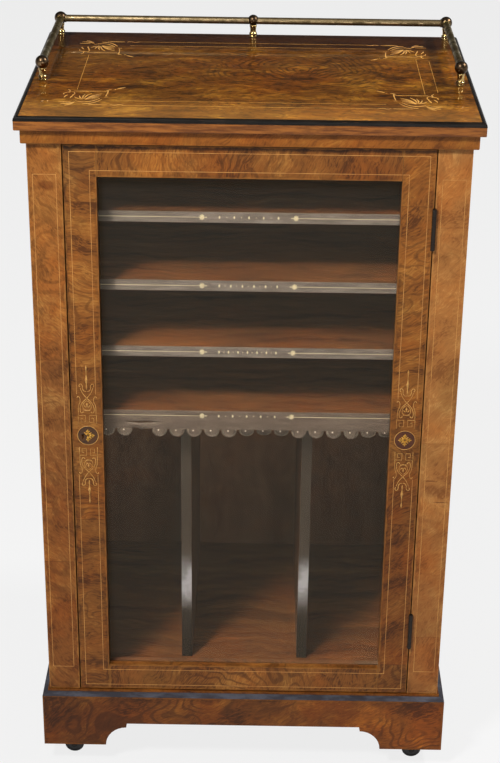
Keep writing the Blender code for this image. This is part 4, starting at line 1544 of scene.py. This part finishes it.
    def build_fall(self, hide: Leather, edge: Colour) -> None:
        """Make the fall in place of the CAD one, with its pinked edge and its studs."""
        low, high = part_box("shelf_edge_fall")
        half = (high.x - low.x) / 2
        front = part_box("shelf_edge_1")[0].y
        shape = filled(self.outline(half))
        bmesh.ops.triangulate(shape, faces=shape.faces[:])
        for limit in (0.040, 0.020, 0.010, 0.006):
            long = [edge for edge in shape.edges if edge.calc_length() > limit]
            if long:
                bmesh.ops.subdivide_edges(shape, edges=long, cuts=1)
                bmesh.ops.triangulate(shape, faces=shape.faces[:])
        for corner in shape.verts:
            corner.co.z = -self.bend(corner.co.x, -corner.co.y)
        bmesh.ops.recalc_face_normals(shape, faces=shape.faces)
        if sum(face.normal.z for face in shape.faces) < 0:
            bmesh.ops.reverse_faces(shape, faces=shape.faces[:])
        bmesh.ops.transform(
            shape, matrix=on_front(0, front + self.behind, high.z), verts=shape.verts
        )
        neck = self.drop - self.radius
        finish = hide.material("fall_leather", self.rim(high.z - neck, edge))
        fall = put_piece(
            "leather_fall", closed(shape), finish, Body.CASE,
            ("shelf_edge_fall",), 60.0,
        )
        wall = fall.modifiers.new("thickness", "SOLIDIFY")
        wall.thickness = self.thick
        wall.offset = 0.0
        lobes = self.lobes(half)
        studs = []
        for count in lobes:
            x = count * self.pitch - 1.5 * MM
            down = neck + 0.6 * MM
            stud = turned(arc((0.0, -0.3 * MM), 1.05 * MM, 0, 90, 4)[:-1] + [(0.0, 0.75 * MM)], 10)
            capped(stud)
            back = front + self.behind - self.thick / 2 + self.bend(x, down)
            studs.append(as_mesh(stud, on_front(x, back, high.z - down)))
        put_piece("fall_studs", joined(studs), Finish.STUD, Body.CASE, (), 40.0)

    def build(self) -> None:
        """Dress the bands, tool them in gilt and make the fall."""
        hide = Leather(shown(94, 85, 80), shown(122, 112, 106))

        def ends(g: Graph, colour: Feed, place: Feed) -> Feed:
            """Painted shadow at a band's left end, where the door's stile shades it, and pale
            painted highlight streaks.
            """
            x, _, z = g.parts(place)
            # Painted shadow of the door's stile over the band's left end.
            end = g.step(x, -0.172, -0.186)
            colour = g.mix(g.times(end, 0.6), colour, shown(46, 40, 36))
            # Painted highlight: pale horizontal streaks across the band.
            streak = g.noise(g.pulled(place, (30.0, 1.0, 1400.0)), 1.0, 3.0, 0.6)
            return g.mix(g.times(g.step(streak, 0.56, 0.70), 0.5), colour, shown(152, 144, 138))

        bands = ("shelf_edge_1", "shelf_edge_2", "shelf_edge_3")
        for name in bands:
            dress_node(name, hide.material(f"{name}_leather", ends))
        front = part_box("shelf_edge_1")[0].y
        for count, name in enumerate((*bands, "shelf_edge_fall")):
            low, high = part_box(name)
            plane = on_front(0, front, high.z - self.gilt_down)
            put_piece(
                f"gilt_tooling_{count + 1}",
                inlaid(self.tooling((high.x - low.x) / 2, count), plane, Layer.DRAWING),
                Finish.GILT, Body.CASE,
            )
        self.build_fall(Leather(shown(84, 71, 63), shown(106, 92, 82)), shown(124, 112, 100))
        log.info("shelf edges: four leathers with gilt tooling")


@dataclass
class Fittings:
    """Screws, plates, wheels and pins.

    Attributes:
        hinge_screw: radius of a hinge's screws.
        hinge_row: distance of the outer screws from a leaf's edge, shift of the middle one,
            and distance from screw to screw.
        leaf_faces: how far the faces of a case leaf and a door leaf stand past the stile.
        lock_screw: radius of the lock's screws and their distance from its corners.
        strike: width, height past the bolt, rim and thickness of the strike plate.
        strike_screw: radius of its screws and their distance from the bolt.
        plate: half side, thickness and rounding of a castor's plate.
        plate_drop: how far a castor's plate and its screws stand from the block's face.
        castor_screw: radius of a plate's screws and their share of its half side.
        rivet: profile of a rivet on an axle, in millimetres.
        rivet_gap: distance of the rivets from the wheel's sides.
        back_screw: radius of the back board's screws and their distance from its sides.
        proud: how far the heads stand past the lock case and past the back board.
        pin: profile of a glazing pin, in millimetres.
        pin_inset: distance of the pins from the bead's outer edges.
        pin_counts: pins up each side and along each end of the bead.
    """

    hinge_screw: float = 0.0019
    hinge_row: Triple = (0.0068, 0.0018, 0.0195)
    leaf_faces: Pair = (0.0011, 0.0005)
    lock_screw: Pair = (0.0018, 0.0045)
    strike: tuple[float, float, float, float] = (0.010, 0.016, 0.0026, 0.0004)
    strike_screw: Pair = (0.0013, 0.0052)
    plate: Triple = (0.0165, 0.0011, 0.0002)
    plate_drop: Pair = (0.00025, -0.00035)
    castor_screw: Pair = (0.0018, 0.76)
    rivet: Outline = ((0.0, 0.9), (1.2, 0.7), (2.4, 0.0), (2.4, -0.3), (0.0, -0.3))
    rivet_gap: float = 0.0028
    back_screw: Pair = (0.0026, 0.012)
    proud: Pair = (0.00005, 0.00006)
    pin: Outline = ((0.0, 0.12), (0.6, 0.10), (0.8, -0.1), (0.0, -0.1))
    pin_inset: float = 0.003
    pin_counts: tuple[int, int] = (9, 5)

    def hinges(self) -> None:
        """Three screws in each hinge leaf."""
        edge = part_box("door_stile_hinge")[1].x
        setback, shift, pitch = self.hinge_row
        owners = ((Body.CASE, -1), (Body.DOOR, 1))
        for height in ("upper", "lower"):
            for (body, facing), face in zip(owners, self.leaf_faces):
                owner = body.value
                low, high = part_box(f"hinge_{height}_{owner}_leaf")
                mid = (low.z + high.z) / 2
                places = [
                    (edge + face, high.y - setback + (0.0 if step else shift), mid + step * pitch)
                    for step in (-1, 0, 1)
                ]
                screws(
                    f"hinge_{height}_{owner}_screws", places, (facing, 0, 0), self.hinge_screw,
                    body,
                )

    def lock(self) -> None:
        """Selvedge screws and the strike plate."""
        low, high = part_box("lock_case")
        mid = (low.z + high.z) / 2
        radius, inset = self.lock_screw
        places = [
            (x, high.y + self.proud[0], z)
            for x in (low.x + inset, high.x - inset) for z in (low.z + inset, high.z - inset)
        ]
        screws("lock_case_screws", places, (0, 1, 0), radius, Body.DOOR)
        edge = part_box("pilaster_left")[1].x
        bolt_low, bolt_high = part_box("lock_bolt")
        y = (bolt_low.y + bolt_high.y) / 2
        half = (bolt_high.z - bolt_low.z) / 2
        width, past, rim, thick = self.strike
        shape = rectangle(width, 2 * half + past)
        bmesh.ops.inset_individual(shape, faces=shape.faces[:], thickness=rim, depth=0.0)
        inner = [f for f in shape.faces if f.calc_center_median().length < WELD]
        bmesh.ops.delete(shape, geom=inner, context="FACES_ONLY")
        raised(shape, shape.faces, (0, 0, thick))
        lay = Matrix(((0, 0, 1, edge), (1, 0, 0, y), (0, 1, 0, mid), (0, 0, 0, 1)))
        put_piece("strike_plate", as_mesh(shape, lay), Finish.LOCK_BRASS, Body.CASE)
        radius, past = self.strike_screw
        marks = [(edge + thick, y, mid + step * (half + past)) for step in (-1, 1)]
        screws("strike_plate_screws", marks, (1, 0, 0), radius, Body.CASE)

    @staticmethod
    def wheel(radius: float, wide: float) -> Outline:
        """Profile of a wheel with a hub, sunk sides and a rounded tread.

        Args:
            radius: its radius.
            wide: half its width.

        Returns:
            The closed profile.
        """
        line = [(2.2 * MM, wide), (5.0 * MM, wide), (5.6 * MM, wide - 0.7 * MM)]
        line += [(radius - 3.2 * MM, wide - 0.7 * MM), (radius - 2.6 * MM, wide)]
        line += arc((radius - 1.9 * MM, wide - 1.9 * MM), 1.9 * MM, 90, 0, 5)
        line += [(r, -h) for r, h in reversed(line)]
        return [*line, line[0]]

    def castor(self, corner: str) -> None:
        """A castor's plate with its screws, its turned wheel and the axle's rivets."""
        joint = next(j for j in frame["joints"] if j["name"] == f"castor_swivel_{corner}")
        pivot = Vector((*joint["pos_m"][:2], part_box(f"corner_block_{corner}")[0].z))
        half, thick, rounding = self.plate
        lift, drop = self.plate_drop
        plate = bmesh.new()
        bmesh.ops.create_cube(plate, size=1.0)
        bmesh.ops.scale(plate, vec=(2 * half, 2 * half, thick), verts=plate.verts)
        bmesh.ops.bevel(
            plate, geom=plate.edges[:], offset=rounding, offset_type="OFFSET", affect="EDGES",
            segments=1, profile=0.5, material=-1,
        )
        put_piece(
            f"castor_plate_{corner}",
            as_mesh(plate, Matrix.Translation(pivot + Vector((0, 0, lift)))),
            Finish.CASTOR_BRASS, Body.CASE,
        )
        radius, share = self.castor_screw
        places = [
            pivot + Vector((x * half * share, y * half * share, drop))
            for x in (-1, 1) for y in (-1, 1)
        ]
        screws(f"castor_screws_{corner}", places, (0, 0, -1), radius, Body.CASE)
        low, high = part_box(f"castor_wheel_{corner}")
        centre = (low + high) / 2
        wide = (high.y - low.y) / 2
        line = self.wheel((high.z - low.z) / 2, wide)
        put_piece(
            f"turned_wheel_{corner}", as_mesh(turned(line, 48), standing(centre, (0, 1, 0))),
            Finish.WHEEL_BLACK, f"wheel_{corner}", (f"castor_wheel_{corner}",), 35.0,
        )
        heads = []
        for side in (-1, 1):
            place = centre + Vector((0, side * (wide + self.rivet_gap), 0))
            head = turned(metres(self.rivet), 16)
            heads.append(as_mesh(head, standing(place, (0, side, 0))))
        put_piece(
            f"axle_rivets_{corner}", joined(heads), Finish.CASTOR_BRASS, f"castor_{corner}",
            (), 40.0,
        )

    def back(self) -> None:
        """Screws round the back board and pins in the glazing bead."""
        low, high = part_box("back_panel")
        radius, inset = self.back_screw
        left, right = low.x + inset, high.x - inset
        rows = [(x, share) for x in (left, 0.0, right) for share in (0.015, 0.985)]
        rows += [(x, share) for x in (left, right) for share in (0.25, 0.5, 0.75)]
        places = [
            (x, high.y + self.proud[1], low.z + share * (high.z - low.z)) for x, share in rows
        ]
        screws("back_board_screws", places, (0, 1, 0), radius, Body.CASE)
        low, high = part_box("glazing_bead")
        size = high - low
        up, along = self.pin_counts
        edges = [(x, low.z + size.z * (n + 0.5) / up)
                 for n in range(up) for x in (low.x + self.pin_inset, high.x - self.pin_inset)]
        edges += [(low.x + size.x * (n + 0.5) / along, z)
                  for n in range(along) for z in (low.z + self.pin_inset, high.z - self.pin_inset)]
        pins = [
            as_mesh(turned(metres(self.pin), 8), standing((x, high.y, z), (0, 1, 0)))
            for x, z in edges
        ]
        put_piece(
            "bead_pins", joined(pins), Finish.SCREW_METAL, Body.DOOR, (), 40.0
        )

    def build(self) -> None:
        """Make every fitting and dress the CAD metal."""
        self.hinges()
        self.lock()
        for corner in ("front_left", "front_right", "back_left", "back_right"):
            self.castor(corner)
        self.back()
        for name in frame["nodes"]:
            for start, finish in (
                ("hinge_", Finish.HINGE_METAL), ("castor_fork", Finish.CASTOR_BRASS),
                ("lock_", Finish.LOCK_BRASS),
            ):
                if name.startswith(start):
                    dress_node(name, finish.made())
        log.info("fittings: hinges, lock, castors and screws")


class Boards:
    """Finishes of the boards that keep their CAD solids."""

    PILASTER = Veneer(
        shown(106, 62, 22), shown(154, 96, 42), shown(188, 132, 66), stretch=1.15, scale=20.0,
        draw=5.0, rings=16.0, lines=0.45, flecks=0.3, streaks=0.3,
    )
    # A paler copy of the pilaster veneer for the right pilaster, with calmer figure; part of its
    # extra brightness is painted light from the right.
    PALE_AND_LIT_PILASTER = replace(
        PILASTER, dark=shown(138, 84, 38), mid=shown(172, 112, 56), light=shown(200, 144, 80),
        lines=0.3, flecks=0.22, streaks=0.15,
    )
    DOOR = Veneer(
        shown(80, 44, 16), shown(134, 81, 32), shown(170, 114, 52), stretch=2.0, scale=16.0,
        draw=9.0, rings=20.0, lines=0.5, flecks=0.34, streaks=0.22, tones=0.1,
    )
    RAIL = replace(DOOR, stretch=1.8, scale=11.0, rings=26.0, lines=0.65, streaks=0.2)
    SIDE = replace(DOOR, stretch=7.0, scale=3.2, draw=14.0, rings=16.0, lines=0.5, streaks=0.1)
    TOP = Veneer(
        shown(46, 23, 2), shown(100, 57, 9), shown(156, 105, 30), stretch=2.6, scale=12.0,
        draw=4.0, fine=300.0, rings=14.0, lines=0.35, flecks=0.75, streaks=0.4, rough=0.36,
        level=0.03, coat=0.6, coat_rough=0.04, wear=0.4,
    )
    FRIEZE = Veneer(
        shown(114, 62, 19), shown(150, 88, 30), shown(174, 112, 44), stretch=2.2, scale=14.0,
        draw=8.0, rings=10.0, lines=0.35, flecks=0.28, streaks=0.3,
    )
    PLINTH = Veneer(
        shown(64, 33, 10), shown(112, 62, 21), shown(152, 94, 34), stretch=1.6, scale=11.0,
        draw=8.0, rings=24.0, lines=0.6, flecks=0.25, streaks=0.6, burr=0.15,
    )
    INSIDE = Veneer(
        shown(58, 33, 17), shown(94, 57, 29), shown(122, 79, 42), stretch=9.0, scale=5.0,
        rings=5.0, lines=0.4, flecks=0.5, streaks=0.4, rough=0.6, coat=0.0, wear=0.2,
    )
    BACK = Veneer(
        shown(106, 74, 55), shown(126, 91, 68), shown(140, 104, 78), stretch=9.0, scale=4.0,
        rings=3.0, lines=0.1, flecks=0.3, streaks=0.1, rough=0.75, coat=0.0, wear=0.1,
    )

    def build(self) -> None:
        """Dress every board."""
        # Painted shadow: a dark band across the top of the door's stiles and rails, under the
        # frieze's overhang.
        frieze_shadow = spot(0, 0.9484, 0.8, 0.0088, (0.34, 0.33, 0.35))
        # The broad spots with a half width of 0.3 m on the pilasters and door stiles are painted
        # light: brighter high up and darker low down, as light from above falls off down the
        # front.
        self.PILASTER.dress(
            ("pilaster_left",), Grain.STEEP_FALL, 0.31, (0, 0, 1), 0.340,
            (spot(-0.26, 0.84, 0.3, 0.16, (1.14, 1.13, 1.12)),
             spot(-0.256, 0.893, 0.013, 0.007, (0.62, 0.52, 0.45)),
             spot(-0.262, 0.706, 0.020, 0.022, (0.80, 0.80, 0.82)),
             spot(-0.252, 0.640, 0.016, 0.012, (0.84, 0.84, 0.88)),
             spot(-0.26, 0.25, 0.3, 0.33, (0.74, 0.66, 0.60)),
             spot(-0.26, 0.55, 0.3, 0.20, (0.86, 0.84, 0.92))),
        )
        self.PALE_AND_LIT_PILASTER.dress(
            ("pilaster_right",), Grain.STEEP_RISE, 0.31, (0, 0, 1), 0.534,
            (spot(0.262, 0.460, 0.018, 0.011, (0.64, 0.56, 0.50)),
             spot(0.251, 0.476, 0.012, 0.0009, (0.45, 0.38, 0.32)),
             spot(0.266, 0.443, 0.014, 0.0009, (0.45, 0.38, 0.32)),
             spot(0.26, 0.22, 0.3, 0.25, (0.84, 0.79, 0.76))),
        )
        self.DOOR.dress(
            ("door_stile_lock",), Grain.NEARLY_ACROSS, 0.232, (0, 0, 1), 0.640,
            (spot(-0.214, 0.80, 0.3, 0.20, (1.16, 1.16, 1.14)), frieze_shadow,
             spot(-0.214, 0.915, 0.030, 0.036, (0.86, 0.92, 1.06)),
             # Painted shade: a thin dark line down the door's left edge, deepening the gap to the
             # pilaster.
             spot(-0.2350, 0.54, 0.0024, 1, (0.34, 0.28, 0.24))),
        )
        self.DOOR.dress(
            ("door_stile_hinge",), Grain.GENTLE_RISE, 0.232, (0, 0, 1), 0.640,
            (spot(0.215, 0.78, 0.3, 0.24, (1.22, 1.21, 1.12)), frieze_shadow,
             spot(0.215, 0.25, 0.3, 0.25, (0.86, 0.78, 0.72))),
        )
        self.RAIL.dress(
            ("door_rail_top", "door_rail_bottom"), Grain.NEARLY_UPRIGHT, patches=(frieze_shadow,)
        )
        self.SIDE.dress(("carcase_side_left", "carcase_side_right"), Grain.UPRIGHT)
        self.TOP.dress(("top_board",), Grain.ACROSS, extra=self.top_border, patches=(
            Patch((0.205, 0.02, 0.986), (0.095, 0.090, 1), (1.34, 1.36, 1.30)),
            Patch((0.192, -0.02, 0.986), (0.020, 0.024, 1), (0.50, 0.46, 0.42)),
            # Painted sheen: a pale strip between the right rail and its shadow.
            Patch((0.280, 0.085, 0.986), (0.015, 0.10, 1), (1.55, 1.50, 1.60)),
            # Painted sheen: the strip along the front is lightened.
            Patch((0.01, -0.155, 0.986), (0.200, 0.035, 1), (1.12, 1.14, 1.15)),
            Patch((-0.205, 0.09, 0.986), (0.080, 0.060, 1), (0.82, 0.80, 0.78)),
        ))
        self.FRIEZE.dress(("frieze_board",), Grain.STEEP_RISE)
        self.PLINTH.dress(("plinth_front", "base_fillet"), Grain.GENTLE_RISE, patches=(
            Patch((-0.235, -0.2, 0.07), (0.070, 1, 0.050), (0.82, 0.72, 0.68)),
            Patch((0.245, -0.2, 0.07), (0.075, 1, 0.060), (1.50, 1.42, 1.20)),
        ))
        self.PLINTH.dress(("plinth_side_left", "plinth_side_right"), Grain.DEEP)
        self.PLINTH.dress(("glazing_bead",), Grain.UPRIGHT, extra=self.bead_highlight)
        self.INSIDE.dress(
            ("carcase_top", "carcase_bottom", "shelf_1", "shelf_2", "shelf_3", "shelf_4"),
            Grain.ACROSS,
        )
        self.INSIDE.dress(
            ("divider_left", "divider_right"), Grain.UPRIGHT, extra=self.divider_edge
        )
        # The patch darkens the lower parts of the back, the plinth back and the corner blocks:
        # painted shade low in the cabinet.
        self.BACK.dress(
            ["back_panel", "plinth_back"] + [n for n in frame["nodes"] if "corner_block" in n],
            Grain.UPRIGHT, patches=(Patch((0, 0.19, 0.10), (0.9, 1, 0.24), (0.74, 0.72, 0.74)),),
        )
        Ebonised(shown(12, 9, 6), shown(26, 20, 14)).dress("top_edge_band")
        # Painted reflection: the plinth cap's bluish greys stand for the bright room seen in its
        # sloping face, over near-black wood.
        Ebonised(shown(48, 46, 52), shown(76, 76, 84)).dress("plinth_cap")
        Pane().dress("door_glass")
        log.info("boards: veneers, inside wood, ebonised bands and the pane")

    @staticmethod
    def top_border(g: Graph, colour: Feed, place: Feed) -> Feed:
        """Add the top board's fine swirl, its dark back strip, a painted sheen along the front and
        red sides.
        """
        wander = g.vectors("ADD", place, g.sway(place, 16.0, 0.045))
        away = g.vectors("MULTIPLY", g.vectors("SUBTRACT", wander, (0.062, 0.031, 0)), (7, 8, 0))
        reach = g.length(away)
        lines = g.step(g.maths("SINE", g.times(reach, 95.0)), -0.1, 0.9)
        broken = g.step(g.noise(place, 34.0, 2.0), 0.36, 0.56)
        swirl = g.times(g.step(reach, 1.15, 0.6), broken)
        colour = g.mix(g.times(lines, swirl, 0.7), colour, shown(44, 24, 6))
        _, y, z = g.parts(place)
        back = g.step(y, 0.118, 0.140)
        colour = g.mix(g.times(back, 0.84), colour, shown(36, 13, 2))
        # Painted sheen: the strip along the front is paled and blued, as a reflection of the
        # bright room.
        front = g.times(g.step(y, -0.100, -0.185), g.step(z, 0.9850, 0.9856))
        colour = g.mix(g.times(front, 0.6), colour, g.tinted(colour, (1.9, 2.1, 2.7)))
        colour = g.mix(g.times(front, 0.3), colour, shown(150, 106, 58))
        side = g.step(z, 0.9858, 0.9852)
        run = g.noise(g.pulled(place, (26.0, 300.0, 300.0)), 1.0, 4.0, 0.65)
        edge = g.mix(g.step(run, 0.36, 0.64), shown(108, 58, 20), shown(166, 99, 38))
        return g.mix(g.times(side, 0.85), colour, edge)

    @staticmethod
    def bead_highlight(g: Graph, colour: Feed, place: Feed) -> Feed:
        """Painted highlight: a pale grey on the lower bead's upper face, stronger to the right."""
        x, _, z = g.parts(place)
        low = g.step(z, 0.174, 0.170)
        highlight_strength = g.spread(g.step(x, 0.15, 0.185), 0.35, 0.7)
        return g.mix(g.times(low, highlight_strength), colour, shown(104, 88, 74))

    @staticmethod
    def divider_edge(g: Graph, colour: Feed, place: Feed) -> Feed:
        """Grey front edges of the dividers, with a painted pale glint low down, and darker at the
        foot.
        """
        _, y, z = g.parts(place)
        edge = g.step(y, -0.1335, -0.1342)
        glint_breakup = g.step(g.noise(place, 55.0, 3.0), 0.40, 0.66)
        # Painted highlight: a pale blue-grey glint on the front edges between about 0.22 and 0.33
        # m up.
        pale = g.times(g.step(z, 0.325, 0.285), g.step(z, 0.222, 0.262), g.spread(glint_breakup, 0.5, 1.0))
        body = g.mix(g.step(z, 0.26, 0.20), shown(55, 48, 42), shown(34, 30, 27))
        sides = g.tinted(colour, (0.75, 0.85, 0.95))
        return g.mix(edge, sides, g.mix(pale, body, shown(158, 158, 166)))


@dataclass
class Studio:
    """Camera, floor, background and lamps.

    Attributes:
        eye: the camera's place.
        yaw: turn to the left, in degrees.
        pitch: tilt, in degrees.
        roll: roll, in degrees.
        focal: focal length in pixels of the photograph's size.
        tall: the picture's height in pixels.
        backdrop: linear grey at which the floor and the pale sweep round it are seen.
        ground: linear grey of the floor's own colour, which carries the shadow.
        room: grey light of the room.
        dim: what polish and metal see above the sweep.
        overhead: grey light from above.
        floor_side: length of the floor's sides.
        glow: strength at which the floor shines, and its share over the shadowed ground.
        sweep_end: heights of a ray at which the sweep is gone and still full.
        lift: how much higher both are for the camera.
        lamps: name, place, aim, length of the sides and watts of each lamp.
    """

    eye: Point = (0.0169, -2.3494, 1.6588)
    yaw: float = 0.341
    pitch: float = -25.654
    roll: float = 0.713
    focal: float = 1803.6
    tall: float = 763.0
    backdrop: float = 0.8714
    ground: float = 0.42
    room: float = 0.20
    dim: float = 0.035
    overhead: float = 0.16
    floor_side: float = 40.0
    glow: Pair = (1.17, 0.80)
    sweep_end: Pair = (0.14, 0.08)
    lift: float = 0.6
    lamps: tuple[tuple[str, Point, Point, float, float], ...] = (
        ("key", (-1.0, -1.58, 2.66), (0.0, 0.0, 0.6), 0.4, 68.0),
        ("side", (1.9, -0.05, 2.6), (0.1, 0.0, 0.9), 0.28, 62.0),
        ("fill", (0.5, -2.8, 1.1), (0.0, 0.0, 0.6), 1.0, 9.0),
    )

    def camera(self) -> None:
        """Make the camera at the photograph's angle."""
        yaw, pitch, roll = (math.radians(v) for v in (self.yaw, self.pitch, self.roll))
        ahead = Vector((-math.sin(yaw), math.cos(yaw), 0))
        right = Vector((math.cos(yaw), math.sin(yaw), 0))
        top = Vector((0, 0, 1))
        look = math.cos(pitch) * ahead + math.sin(pitch) * top
        up = -math.sin(pitch) * ahead + math.cos(pitch) * top
        x_axis = math.cos(roll) * right + math.sin(roll) * up
        y_axis = -math.sin(roll) * right + math.cos(roll) * up
        data = bpy.data.cameras.new("camera")
        data.sensor_width = 36.0
        data.lens = self.focal / self.tall * data.sensor_width
        data.clip_start = 0.05
        data.clip_end = 60.0
        item = new_object("camera", data)
        turn = Matrix((x_axis, y_axis, -look)).transposed().to_4x4()
        item.matrix_world = Matrix.Translation(self.eye) @ turn
        bpy.context.scene.camera = item

    @staticmethod
    def seen(g: Graph) -> Socket:
        """Mask of the camera's rays and of those in gloss and glass."""
        path = g.add("ShaderNodeLightPath").outputs
        seen = g.maths("ADD", path["Is Camera Ray"], path["Is Glossy Ray"], clamp=True)
        return g.maths("ADD", seen, path["Is Transmission Ray"], clamp=True)

    def floor(self) -> None:
        """Make the pale floor, which keeps a soft shadow."""
        mesh = as_mesh(rectangle(self.floor_side, self.floor_side))
        material, g, shader, _ = new_material("floor")
        surfaced(g, shader, (self.ground,) * 3, 0.9)
        shader.inputs["Specular IOR Level"].default_value = 0.0
        strength, share = self.glow
        glow = g.add(
            "ShaderNodeEmission", {"Color": (self.backdrop,) * 3, "Strength": strength}
        )
        blended(g, g.times(self.seen(g), share), shader, glow)
        mesh.materials.append(material)
        floor = new_object("floor", mesh)

    def background(self) -> None:
        """Make the world: a pale sweep, a dim room above it and soft light from overhead."""
        world = bpy.data.worlds.new("studio")
        world.use_nodes = True
        bpy.context.scene.world = world
        g = Graph(world.node_tree)
        _, _, up = g.parts(g.add("ShaderNodeTexCoord").outputs["Generated"])
        seen = self.seen(g)
        path = g.add("ShaderNodeLightPath").outputs
        direct = g.maths("ADD", path["Is Camera Ray"], path["Is Glossy Ray"], clamp=True)
        sides = g.mix(direct, (self.room,) * 3, (self.dim,) * 3)
        soft = g.mix(g.step(up, 0.55, 0.9), sides, (self.overhead,) * 3)
        end, start = (
            g.maths("MULTIPLY_ADD", path["Is Camera Ray"], self.lift, height)
            for height in self.sweep_end
        )
        sweep = g.times(seen, g.step(up, end, start))
        node = world.node_tree.nodes["Background"]
        g.feed(node.inputs["Color"], g.mix(sweep, soft, (self.backdrop,) * 3))

    def lamp(self, name: str, place: Point, aim: Point, size: float, power: float) -> None:
        """Add a square soft lamp.

        Args:
            name: its name.
            place: where it hangs.
            aim: the point that it faces.
            size: length of its sides.
            power: watts.
        """
        data = bpy.data.lights.new(name, "AREA")
        data.shape = "SQUARE"
        data.size = size
        data.energy = power
        item = new_object(name, data)
        item.matrix_world = standing(place, Vector(place) - Vector(aim))
        item.visible_transmission = False
        item.visible_camera = False

    def build(self) -> None:
        """Set up the studio."""
        self.camera()
        self.floor()
        self.background()
        for lamp in self.lamps:
            self.lamp(*lamp)
        bpy.context.scene.view_settings.view_transform = "Standard"
        log.info("studio: camera, floor and lamps")


def main() -> None:
    """Build the cabinet's looks, sub-assembly by sub-assembly."""
    Studio().build()
    Effects().build()
    for assembly in (Boards(), TopBoard(), FrontInlay(), Gallery(), ShelfLeathers(), Fittings()):
        assembly.build()


if __name__ == "__main__":
    main()
